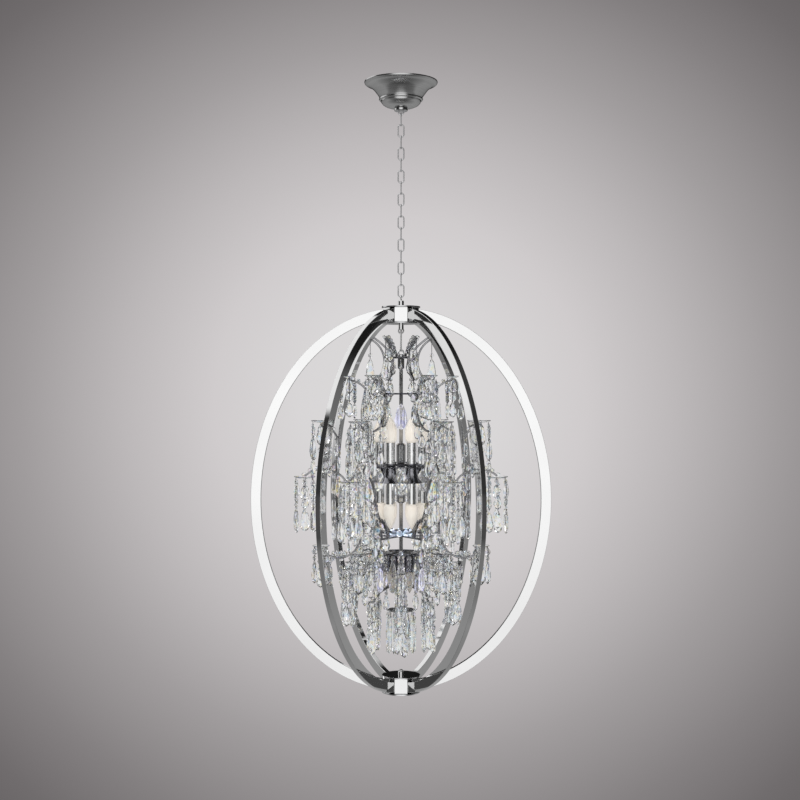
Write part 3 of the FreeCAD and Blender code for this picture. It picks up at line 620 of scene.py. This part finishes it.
def makeLamps():
    reach = lamps["circle"]
    top = lamps["plate"] + lamps["halfPlate"]
    foot = lamps["plate"] - lamps["halfPlate"]
    r, thick = lamps["disc"]
    disc = post(r, top, top + thick, lamps["discEdge"], lamps["discEdge"])
    sixOf("lampDiscs", disc, reach, shadedChrome, "dark_chrome", ["lamp_discs"])
    outer, inner = lamps["sleeve"], lamps["sleeve"] - lamps["wall"]
    rim = top + thick + lamps["up"]
    mouth = foot - lamps["down"]
    for name, node, low, high, finish in (("sleevesUp", "sleeves_up", top + thick, rim, paleSleeve),
                                          ("sleevesDown", "sleeves_down", mouth, foot, ringChrome)):
        sleeve = spunFrom([(inner, low), (outer, low), (outer, high), (inner, high)], turnedSides["post"],
                          closed=True)
        sixOf(name, sleeve, reach, finish, "frame_chrome", [node])
    flare = eased([(r, foot - drop) for r, drop in lamps["bell"]], lamps["bellSteps"])
    inside = [(r - lamps["wall"], z) for r, z in flare[lamps["bellOpen"]:]]
    bell = spunFrom(flare + inside[::-1], turnedSides["bell"], closed=True)
    sixOf("lampBells", bell, reach, shadedChrome, "dark_chrome", ["lamp_bells"], sharp=lamps["bellSharp"])
    for name, node, base, up in (("bulbsUp", "bulbs_up", rim, 1), ("bulbsDown", "bulbs_down", mouth, -1)):
        bulb = bulbShape(base, lamps["bulb"], up)
        sixOf(name, bulb, reach, warmBulb, "bulb_glass", [node], sharp=smoothAll)


def makeLowLamps():
    reach, mouth = lowLamps["circle"], lowLamps["mouth"]
    cup = spunFrom([(r, mouth + rise) for r, rise in lowLamps["cup"]], turnedSides["post"])
    sixOf("lowLampCups", cup, reach, shadedChrome, "dark_chrome", ["low_lamp_cups"])
    bulb = bulbShape(mouth, lowLamps["bulb"], -1)
    sixOf("lowBulbs", bulb, reach, dimBulb, "bulb_glass", ["low_bulbs"], sharp=smoothAll)


makeLamps()
makeLowLamps()
print("lamps ready")


# Cut stones: each kind is made once, from the point it hangs by, and copied onto its strings

stoneParts = ("width", "deep", "length", "point", "sides", "table", "steps")
stoneRows = {
    "bead": (12.0, 8.0, 12.0, 0.5, 6, 0.4, 1),
    "button": (18.0, 8.0, 18.0, 0.5, 8, 0.2, 2),
    "drop": (20.0, 9.0, 40.0, 0.62, 8, 0.2, 2),
    "tear": (24.0, 10.0, 58.0, 0.66, 8, 0.2, 2),
    "broad": (38.0, 15.0, 66.0, 0.66, 12, 0.2, 2),
    "shield": (40.0, 16.0, 60.0, 0.5, 12, 0.2, 2),
    "almond": (44.0, 16.0, 82.0, 0.6, 14, 0.2, 2),
    "prism": (16.0, 9.0, 108.0, 0.5, 8, 0.3, 1),
}
stoneKinds = {kind: dict(zip(stoneParts, row)) for kind, row in stoneRows.items()}
cutShape = {"taper": 0.25, "rimShare": 0.2}
pin = {"gap": 1.8, "radius": 0.7, "sides": 4, "twist": 0.6}
bareWire = {"short": 9.0, "long": 30.0}  # wire with no stone on it
cutStones = {}


def cutStone(kind):
    # an almond outline with a bevelled rim and a table on both faces
    size = stoneKinds[kind]
    bm = bmesh.new()
    girdle = bmesh.ops.create_circle(bm, cap_ends=True, segments=size["sides"], radius=1,
                                     matrix=Matrix.Rotation(math.pi / 2, 4, "X"))["verts"]
    wide, long, low = size["width"] / 2, size["length"], size["point"]
    for v in girdle:
        level = v.co.z
        above, below = long * low, long * (1 - low)
        v.co.x *= wide * (1 - cutShape["taper"] * max(level, 0))
        v.co.z = -above + (level * above if level > 0 else level * below)
    thin = size["deep"] * cutShape["rimShare"]
    back = bmesh.ops.extrude_face_region(bm, geom=bm.faces[:])["geom"]
    backVerts = [g for g in back if isinstance(g, bmesh.types.BMVert)]
    bmesh.ops.translate(bm, vec=(0, -thin / 2, 0), verts=girdle)
    bmesh.ops.translate(bm, vec=(0, thin / 2, 0), verts=backVerts)
    flats = [f for f in bm.faces if len(f.verts) > 4]
    bmesh.ops.recalc_face_normals(bm, faces=bm.faces[:])
    for _ in range(size["steps"]):
        bmesh.ops.inset_individual(bm, faces=flats, thickness=wide * size["table"],
                                   depth=(size["deep"] - thin) / 2 / size["steps"], use_even_offset=True)
    mesh = bpy.data.meshes.new(kind + "Stone")
    bm.to_mesh(mesh)
    bm.free()
    return mesh


def addStone(bm, kind, matrix):
    if kind not in cutStones:
        cutStones[kind] = cutStone(kind)
    copy = cutStones[kind].copy()
    copy.transform(matrix)
    bm.from_mesh(copy)
    bpy.data.meshes.remove(copy)


def hangString(bm, pins, place, kinds, turn=0.0):
    # stones one under another on a fine wire, from the place that carries them
    x, y, top = place
    level = top
    for kind in kinds:
        level -= pin["gap"]
        if kind in bareWire:
            level -= bareWire[kind]
            continue
        spin = Matrix.Rotation(turn + chance.uniform(-pin["twist"], pin["twist"]), 4, "Z")
        addStone(bm, kind, Matrix.Translation((x, y, level)) @ spin)
        last = level
        level -= stoneKinds[kind]["length"]
    reach = top + pin["gap"] - last
    middle = Matrix.Translation((x, y, top + pin["gap"] - reach / 2))
    bmesh.ops.create_cone(pins, cap_ends=True, segments=pin["sides"], radius1=pin["radius"],
                          radius2=pin["radius"], depth=reach, matrix=middle)


def onCircle(radius, angle, level, middle=0.0):
    return middle + radius * math.cos(angle), radius * math.sin(angle), level


def onArm(line, share):
    # a place along an arm's arcs, and the arm's lean there
    arcs = list(zip(line[0::2], line[1::2], line[2::2]))
    which = min(int(share * len(arcs)), len(arcs) - 1)
    a, b, c = arcs[which]
    middle = arcCentre(a, b, c)
    swing = sweepAngle(middle, a, b, c)
    angle = math.atan2(a[1] - middle[1], a[0] - middle[0]) + swing * (share * len(arcs) - which)
    radius = math.hypot(a[0] - middle[0], a[1] - middle[1])
    return middle[0] + radius * math.cos(angle), middle[1] + radius * math.sin(angle), angle


# Strings under each arm: where along it, and the stones from the top down
armStrings = {
    "crown": ((0.0, ("long", "bead", "tear")),),
    "second": ((0.1, ("bead", "drop")), (0.66, ("bead", "drop")), (0.82, ("bead", "drop", "drop")),
               (1.0, ("bead", "drop", "tear"))),
    "third": ((0.14, ("bead", "drop")), (0.34, ("bead", "drop")), (0.66, ("drop",))),
    "main": ((0.18, ("bead", "drop")), (0.4, ("bead", "drop", "drop")),
             (0.56, ("bead", "drop", "short", "bead", "drop", "drop")),
             (0.66, ("short", "drop", "button", "drop", "bead", "drop")),
             (0.76, ("button", "drop", "tear", "bead", "drop")), (0.88, ("bead", "drop", "tear"))),
    "lower": ((0.0, ("drop",)), (0.3, ("bead", "drop")), (0.56, ("bead", "drop", "drop")),
              (0.7, ("short", "drop", "bead")), (0.84, ("button", "drop"))),
    "basket": ((0.16, ("bead", "drop")), (0.4, ("bead", "drop", "drop")),
               (0.6, ("bead", "drop", "bead", "tear")), (0.8, ("button", "drop", "tear"))),
    "bottom": ((0.3, ("bead", "drop")), (0.65, ("bead", "drop", "drop"))),
}
# One large stone hangs under each arm of the second tier
almond = {"tier": "second", "string": ((0.27, ("bead", "almond")),)}
# Beads set along each arm: from and to along it, how many, and how many rows
armBands = {"second": (0.0, 0.22, 4, 1), "third": (0.0, 0.22, 4, 1), "main": (0.78, 1.0, 5, 1),
            "lower": (0.7, 1.0, 4, 1), "basket": (0.4, 0.95, 5, 1)}
band = {"apart": 12.0, "stand": 1.2, "twist": 0.3}
# Stones with strong painted colour flashes and a painted glow among the strings: where along the arm, and the
# stones
accents = {
    "second": ((0.5, ("button",)),),
    "third": ((0.86, ("button",)), (0.5, ("bead", "bead"))),
    "main": ((0.93, ("button", "button")), (0.72, ("tear",)), (0.5, ("button",)), (0.3, ("button",))),
    "lower": ((0.05, ("button", "button")), (0.4, ("button",))),
    "basket": ((0.5, ("button", "button")), (0.28, ("button",))),
}
# The crown's front and back arms carry more than its side arms
crownFront = {"angles": (60, 120, 240, 300), "band": (0.04, 0.4, 5, 2),
              "strings": ((0.22, ("drop",)), (0.36, ("tear",)), (0.85, ("bead", "drop")),
                          (1.0, ("bead", "drop")))}


def addBand(bm, name, start, end, count, rows):
    # the strap carries rows of beads, flat against its inner face
    half = stoneKinds["bead"]["length"] / 2
    lift = strap["thick"] / 2 + stoneKinds["bead"]["deep"] / 2 - band["stand"]
    for i in range(count):
        x, z, angle = onArm(armLines[name], start + (end - start) * i / (count - 1))
        for row in range(rows):
            aside = (row - (rows - 1) / 2) * band["apart"]
            lean = Matrix.Rotation(-angle, 4, "Y") @ Matrix.Translation((lift, aside, 0))
            twist = chance.uniform(-band["twist"], band["twist"])
            flat = Matrix.Rotation(math.pi / 2 + twist, 4, "Z")
            place = Matrix.Translation((x, 0, z)) @ lean @ flat @ Matrix.Translation((0, 0, half))
            addStone(bm, "bead", place)


def addArmStrings(bm, pins, name, strings, turn=math.pi / 2):
    for share, kinds in strings:
        x, z, _ = onArm(armLines[name], share)
        hangString(bm, pins, (x, 0, z - strap["thick"] / 2), kinds, turn)


# A dish's outline is in shares of its radius and rise, and its strings hang inside its rim
dishes = {"radius": {"second": 22.0, "third": 27.0, "main": 28.0, "lower": 22.0}, "rise": 6.0, "steps": 3,
          "shares": ((0, 0), (0.4, 0.15), (0.8, 0.55), (1, 1)), "wall": (0.4, 1.1), "inset": 2.5,
          "hangShare": 0.7, "slack": 14}
smallDish = {"radius": 15.0, "rise": 4.0, "shares": ((0, 0), (0.7, 0.3), (1, 1), (0, 1))}
# Each row: how far out, how high, how many strings and their stones
smallDishTiers = {
    "basket": (156.0, -1261.5, 4, ("bead", "drop", "button", "tear")),
    "bottom": (82.0, -1350.0, 4, ("button", "drop", "tear")),
}
dishTiers = {
    "second": (140.0, -771.8, 5, ("button", "drop", "drop")),
    "third": (207.0, -887.0, 6, ("bead", "button", "tear", "drop")),
    "main": (250.0, -1032.6, 6, ("button", "drop", "bead", "tear")),
    "lower": (208.0, -1211.8, 6, ("button", "bead", "tear")),
}
# Tiers whose stones get the fainter painted glow; the others get the stronger one
fainterGlowTiers = ("crown", "second", "lower")


def addDishStrings(bm, pins, radius, reach, low, count, kinds):
    r = radius - dishes["inset"]
    for i in range(count):
        angle = allAround * (i + 0.5) / count
        top = low + dishes["rise"] * dishes["hangShare"] - chance.uniform(0, dishes["slack"])
        order = list(kinds[:-1])
        chance.shuffle(order)
        place = onCircle(r, angle, top, reach)
        hangString(bm, pins, place, order + [kinds[-1]], angle + math.pi / 2)


def finishStones(name, pinName, stones, pins, glass, nodes=()):
    finishPiece(name, stones, "light", glass, "stone_glass", nodes, sharp=crisp)
    finishPiece(pinName, pins, "light", shadedChrome, "dark_chrome")


def makeTiers():
    for name in tiers:
        stones, pins = bmesh.new(), bmesh.new()
        if name in armBands:
            addBand(stones, name, *armBands[name])
        addArmStrings(stones, pins, name, armStrings[name], 0 if name == "crown" else math.pi / 2)
        if name in dishTiers:
            addDishStrings(stones, pins, dishes["radius"][name], *dishTiers[name])
        if name in smallDishTiers:
            addDishStrings(stones, pins, smallDish["radius"], *smallDishTiers[name])
        if name == almond["tier"]:
            addArmStrings(stones, pins, name, almond["string"])
        copiedAround(stones, 6, armTurns[name])
        copiedAround(pins, 6, armTurns[name])
        # the stones glow with painted light, fainter on the tiers listed above
        glass = stoneGlass if name in fainterGlowTiers else strongerGlowGlass
        finishStones(name + "Crystals", name + "Pins", stones, pins, glass, [name + "_stones"])


def makeAccents():
    flashStones, wires = [], []
    for name, strings in accents.items():
        stones, pins = bmesh.new(), bmesh.new()
        addArmStrings(stones, pins, name, strings)
        flashStones.append(copiedAround(stones, 6, armTurns[name]))
        wires.append(copiedAround(pins, 6, armTurns[name]))
    finishStones("accentCrystals", "accentPins", joined(*flashStones), joined(*wires), accentGlass)


def makeCrownFront():
    stones, pins = bmesh.new(), bmesh.new()
    addBand(stones, "crown", *crownFront["band"])
    addArmStrings(stones, pins, "crown", crownFront["strings"])
    stones, pins = (copiedAt(bm, crownFront["angles"]) for bm in (stones, pins))
    finishStones("crownFrontCrystals", "crownFrontPins", stones, pins, stoneGlass)


def dishLine(size, radius, low):
    return [(radius * wide, low + size["rise"] * up) for wide, up in size["shares"]]


def openDish(outline):
    # a thin shell, from the outline of its underside
    aside, up = dishes["wall"]
    inside = [(max(r - aside, 0), z + up) for r, z in outline]
    return spunFrom(outline + inside[::-1], turnedSides["bulb"])


def makeDishes():
    shapes = []
    for name, (reach, low, *_) in dishTiers.items():
        dish = openDish(eased(dishLine(dishes, dishes["radius"][name], low), dishes["steps"]))
        shapes.append(copiedAround(shifted(dish, x=reach), 6))
    finishPiece("tipDishes", joined(*shapes), "light", dishGlass, "dish_glass", ["tip_dishes"])
    shapes = []
    for name, (reach, low, *_) in smallDishTiers.items():
        dish = spunFrom(dishLine(smallDish, smallDish["radius"], low), turnedSides["smallDish"])
        shapes.append(copiedAround(shifted(dish, x=reach), 6, armTurns[name]))
    finishPiece("smallDishes", joined(*shapes), "light", dishGlass, "dish_glass")


# Stones before the stem and round the lamps, with the thin hoops that carry them

hoopSides = 8


def hoopOf(radius, wire, level):
    turns = [allAround * k / hoopSides for k in range(hoopSides)]
    return spunFrom([(radius + wire / 2 * math.cos(a), level + wire / 2 * math.sin(a)) for a in turns],
                    turnedSides["plate"], closed=True)


centreDrops = {"reach": 20.0, "top": -835.2, "kinds": ("broad",), "plateFoot": -998.2,
               "under": ("button", "tear", "bead"), "hoop": 68.0, "wire": 3.0, "level": -999.7,
               "shields": ("shield",), "count": 6}


def makeCentreDrops():
    stones, pins, pear = bmesh.new(), bmesh.new(), bmesh.new()
    reach, hoop, level, wire = (centreDrops[k] for k in ("reach", "hoop", "level", "wire"))
    hangString(pear, pins, (0, -reach, centreDrops["top"]), centreDrops["kinds"])
    finishPiece("centrePear", pear, "light", violetGlass, "stone_glass", sharp=crisp)
    # the hoop under the lamps' plate carries a broad stone between each two lamps
    for i in range(centreDrops["count"]):
        angle = allAround * (i + 0.5) / centreDrops["count"]
        place = onCircle(hoop, angle, level - wire / 2)
        hangString(stones, pins, place, centreDrops["shields"], angle + math.pi / 2)
        hangString(stones, pins, onCircle(reach, angle, centreDrops["plateFoot"]), centreDrops["under"])
    finishPiece("lampHoop", hoopOf(hoop, wire, level), "light", shadedChrome, "dark_chrome")
    finishStones("centreDrops", "centrePins", stones, pins, litGlass, ["centre_drops"])


lowHoop = {"radius": 58.5, "wire": 5.0, "level": -1224.1, "hang": 62.5, "count": 18,
           "kinds": (("bead", "drop", "drop"), ("button", "bead", "broad"), ("bead", "bead", "bead", "drop"))}


def makeLowHoop():
    # a hoop on the lower lamps' spider veils the lower bulbs
    stones, pears, pins = bmesh.new(), bmesh.new(), bmesh.new()
    for i in range(lowHoop["count"]):
        angle = allAround * (i + 0.5) / lowHoop["count"]
        kinds = lowHoop["kinds"][i % len(lowHoop["kinds"])]
        place = onCircle(lowHoop["hang"], angle, lowHoop["level"])
        hangString(pears if "broad" in kinds else stones, pins, place, kinds, angle + math.pi / 2)
    finishPiece("lowHoopPears", pears, "light", violetGlass, "stone_glass", sharp=crisp)
    hoop = hoopOf(lowHoop["radius"], lowHoop["wire"], lowHoop["level"])
    finishPiece("lowHoop", hoop, "light", shadedChrome, "dark_chrome")
    finishStones("lowHoopCrystals", "lowHoopPins", stones, pins, strongerGlowGlass)


def standStones(bm, kind, count, radius, level):
    # stones side by side round a circle, each facing out
    for i in range(count):
        angle = allAround * (i + 0.5) / count
        aim = Matrix.Rotation(angle + math.pi / 2, 4, "Z")
        addStone(bm, kind, Matrix.Translation(onCircle(radius, angle, level)) @ aim)
    return bm


studs = {"circle": 25.5, "level": -1171.3, "count": 9}


def makeStuds():
    # stones set round the main hub, with painted blue glints and a strong painted glow
    level = studs["level"] + stoneKinds["button"]["length"] / 2
    stones = standStones(bmesh.new(), "button", studs["count"], studs["circle"], level)
    finishPiece("hubStuds", stones, "light", blueGlintGlass, "stone_glass", sharp=crisp)


sideDish = {"radius": 20.0, "rise": 5.0, "shares": ((0, 0), (0.5, 0.2), (1, 1)), "share": 0.72, "beads": 9,
            "inset": 3.0, "sink": 1.5}


def makeSideDishes():
    # a shallow dish with a beaded rim stands on each lower arm
    x, z, _ = onArm(armLines["lower"], sideDish["share"])
    r, low = sideDish["radius"], z + strap["thick"] / 2
    sixOf("sideDishes", openDish(dishLine(sideDish, r, low)), x, dishGlass, "dish_glass")
    level = low + sideDish["rise"] + stoneKinds["bead"]["length"] - sideDish["sink"]
    beads = standStones(bmesh.new(), "bead", sideDish["beads"], r - sideDish["inset"], level)
    sixOf("sideDishBeads", beads, x, stoneGlass, "stone_glass", sharp=crisp)


prisms = {"circle": 34.0, "top": -1374.4, "count": 12}


def makePrisms():
    stones, pins = bmesh.new(), bmesh.new()
    for i in range(prisms["count"]):
        angle = allAround * i / prisms["count"]
        place = onCircle(prisms["circle"], angle, prisms["top"])
        hangString(stones, pins, place, ["prism"], angle + math.pi / 2)
    finishStones("footPrisms", "prismPins", stones, pins, stoneGlass, ["bottom_prisms"])


makeTiers()
makeAccents()
makeCrownFront()
makeDishes()
makeCentreDrops()
makeLowHoop()
makeStuds()
makeSideDishes()
makePrisms()
print("dishes and stones ready")


# Finish for the CAD pieces that stay in view

finishes = (
    (plainSteel, ("mounting_bar", "threaded_nipple", "lock_nuts", "lamp_sockets")),
    (frameChrome, ("top_hub_core", "bottom_hub_core", "stem_covers", "finial")),
    (paleSteel, ("centre_stem", "low_lamp_spider", "prism_plate")),
    (shadedChrome, ("crown_spider", "second_spider", "arm_hubs", "lower_spider", "lamp_spider")),
)
for finish, nodeNames in finishes:
    for nodeName in nodeNames:
        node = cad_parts[nodeName]
        node.data.materials.clear()
        node.data.materials.append(finish)


# Studio: a pale bowl that glows with a painted pool of light, seen by the camera and the glass, soft panels
# in the world, and two soft lamps

studio = {"floor": -4400.0, "wall": 6500.0, "curve": 1200.0, "curveSteps": 12, "top": 6000.0, "sides": 96,
          "glowHeight": -0.83, "glowReach": 4.5, "glassReach": 10.2}
# The bowl's painted glow, brightest in the middle and darker further out: how far out, how bright, and the
# shares of that in green and blue
backTones = (
    (0.0, 0.71, 0.985, 0.99), (0.17, 0.69, 0.975, 0.982), (0.31, 0.628, 0.957, 0.968),
    (0.45, 0.506, 0.953, 0.965), (0.6, 0.357, 0.946, 0.959), (0.75, 0.232, 0.936, 0.951),
    (0.85, 0.163, 0.926, 0.944), (1.0, 0.1, 0.915, 0.935),
)
# What the cut glass sees through itself, painted on the bowl: pale, with a painted dark band that gives the
# stones a dark edge to either side
glassTones = ((0.0, 0.78), (0.42, 0.7), (0.5, 0.05), (0.6, 0.05), (0.68, 0.66), (1.0, 0.56))
# The colour sockets of a mix node
colourA, colourB, colourOut = 6, 7, 2


def greys(rows):
    return [(share, (v, v, v)) for share, v in rows]


def bowlGlow():
    # Painted light: the bowl glows brightest round the middle at the glow height and darker further out; rays
    # through the glass see other painted tones
    mat, tree, shader, place = newMaterial("bowlGlow")
    axes = tree.nodes.new("ShaderNodeSeparateXYZ")
    tree.links.new(place, axes.inputs["Vector"])
    aside = maths(tree, "MINIMUM", *[maths(tree, "ABSOLUTE", axes.outputs[k]) for k in ("X", "Y")])
    height = maths(tree, "SUBTRACT", axes.outputs["Z"], studio["glowHeight"])
    squares = [maths(tree, "MULTIPLY", way, way) for way in (aside, height)]
    away = maths(tree, "SQRT", maths(tree, "ADD", *squares))
    tones = [(share, (v, v * green, v * blue)) for share, v, green, blue in backTones]
    tone = ramp(tree, maths(tree, "DIVIDE", away, studio["glowReach"]), tones)
    through = ramp(tree, maths(tree, "DIVIDE", away, studio["glassReach"]), greys(glassTones))
    seen = tree.nodes.new("ShaderNodeLightPath").outputs["Is Transmission Ray"]
    blend = tree.nodes.new("ShaderNodeMix")
    blend.data_type = "RGBA"
    tree.links.new(seen, blend.inputs["Factor"])
    tree.links.new(tone, blend.inputs[colourA])
    tree.links.new(through, blend.inputs[colourB])
    glow = tree.nodes.new("ShaderNodeEmission")
    tree.links.new(blend.outputs[colourOut], glow.inputs["Color"])
    tree.links.new(glow.outputs["Emission"], tree.nodes["Material Output"].inputs["Surface"])
    return mat


def stagePiece(name, bm, mat, hiddenFrom):
    mesh = bpy.data.meshes.new(name)
    bm.to_mesh(mesh)
    bm.free()
    mesh.materials.append(mat)
    piece = bpy.data.objects.new(name, mesh)
    bpy.context.scene.collection.objects.link(piece)
    for kind in hiddenFrom:
        setattr(piece, "visible_" + kind, False)
    return piece


def makeBowl():
    floor, wall, curve, top, sides = (studio[k] for k in ("floor", "wall", "curve", "top", "sides"))
    turns = [math.pi / 2 * i / studio["curveSteps"] for i in range(studio["curveSteps"] + 1)]
    corner = [(wall - curve + curve * math.sin(a), floor + curve * (1 - math.cos(a))) for a in turns]
    bm = spunFrom([(0, floor), (wall / 3, floor)] + corner + [(wall, top)], sides)
    bmesh.ops.reverse_faces(bm, faces=bm.faces[:])
    bmesh.ops.scale(bm, vec=(toMetres,) * 3, verts=bm.verts[:])
    paint = bowlGlow()
    bowl = stagePiece("studioBowl", bm, paint, ("glossy", "diffuse"))
    bowl.data.shade_smooth()
    # a lid that only the camera sees, for views from below
    bm = bmesh.new()
    bmesh.ops.create_circle(bm, cap_ends=True, segments=sides, radius=wall * toMetres,
                            matrix=Matrix.Translation((0, 0, top * toMetres)))
    lid = stagePiece("studioLid", bm, paint, ("glossy", "diffuse", "transmission", "shadow"))


# Soft panels: azimuth and height of the middle, half angle, softness and brightness
panels = (
    (-90, 22, 26, 8, 0.53),
    (-90, -5, 34, 8, 0.63),
    (-90, -30, 26, 8, 0.36),
    (153, 24, 26, 3, 0.88),
    (150, 65, 41, 3, 0.94),
    (-150, 30, 40, 10, 0.035),
    (-30, 30, 40, 10, 0.035),
)
# The floor's glow by height, from straight down to the horizon, and where its front half is dark
floorTones = ((0.0, 0.14), (0.05, 0.16), (0.15, 0.26), (0.34, 0.39), (0.59, 0.36), (0.79, 0.305),
              (0.925, 0.2), (0.965, 0.16), (0.99, 0.012), (1.0, 0.012))
floorFront = {"back": 0.0, "front": -0.35, "dark": 0.2, "steep": -0.37, "level": -0.22, "share": 0.55,
              "horizon": 0.045}


def panelLight(tree, direction, azimuth, height, half, soft, bright):
    a, h = math.radians(azimuth), math.radians(height)
    dot = tree.nodes.new("ShaderNodeVectorMath")
    dot.operation = "DOT_PRODUCT"
    dot.inputs[1].default_value = (math.cos(a) * math.cos(h), math.sin(a) * math.cos(h), math.sin(h))
    tree.links.new(direction, dot.inputs[0])
    patch = tree.nodes.new("ShaderNodeMapRange")
    patch.interpolation_type = "SMOOTHSTEP"
    patch.inputs["From Min"].default_value = math.cos(math.radians(half + soft))
    patch.inputs["From Max"].default_value = math.cos(math.radians(half - soft))
    patch.inputs["To Max"].default_value = bright
    tree.links.new(dot.outputs["Value"], patch.inputs["Value"])
    return patch.outputs["Result"]


def makeWorld():
    world = bpy.data.worlds.new("studioLight")
    bpy.context.scene.world = world
    world.use_nodes = True
    tree = world.node_tree
    direction = tree.nodes.new("ShaderNodeTexCoord").outputs["Generated"]
    total = 0.0
    for panel in panels:
        total = maths(tree, "ADD", total, panelLight(tree, direction, *panel))
    axes = tree.nodes.new("ShaderNodeSeparateXYZ")
    tree.links.new(direction, axes.inputs["Vector"])
    depth = span(tree, axes.outputs["Z"], 0, 1, -1, floorFront["horizon"])
    glow = ramp(tree, depth, greys(floorTones))
    behind = span(tree, axes.outputs["Y"], floorFront["dark"], 1, floorFront["front"], floorFront["back"])
    below = span(tree, axes.outputs["Z"], 0, floorFront["share"], floorFront["level"], floorFront["steep"])
    floorLight = maths(tree, "MULTIPLY", maths(tree, "MAXIMUM", behind, below), glow)
    tree.links.new(maths(tree, "ADD", floorLight, total), tree.nodes["Background"].inputs["Color"])


# Places of the lamps and the camera are in metres, and each lamp has its power beside its place
lights = {"keyLight": ((-1.8, -2.6, 0.6), 30), "fillLight": ((2.2, -2.0, -0.4), 14)}
lightAim = Vector((0, 0, -0.9))
lightSize = 1.6
cameraView = {"lens": 58.5, "place": (-0.0026, -3.38, -0.827)}


def makeLights():
    for name, (place, power) in lights.items():
        lamp = bpy.data.lights.new(name, "AREA")
        lamp.size = lightSize
        lamp.energy = power
        light = bpy.data.objects.new(name, lamp)
        light.location = place
        light.rotation_euler = (lightAim - Vector(place)).to_track_quat("-Z", "Y").to_euler()
        bpy.context.scene.collection.objects.link(light)
        light.visible_glossy = False


def makeCamera():
    lens = bpy.data.cameras.new("camera")
    lens.lens = cameraView["lens"]
    camera = bpy.data.objects.new("camera", lens)
    camera.location = cameraView["place"]
    camera.rotation_euler = (math.pi / 2, 0, 0)
    bpy.context.scene.collection.objects.link(camera)
    bpy.context.scene.camera = camera


makeBowl()
makeWorld()
makeLights()
makeCamera()
bpy.context.scene.view_settings.view_transform = "Standard"
print("studio ready")
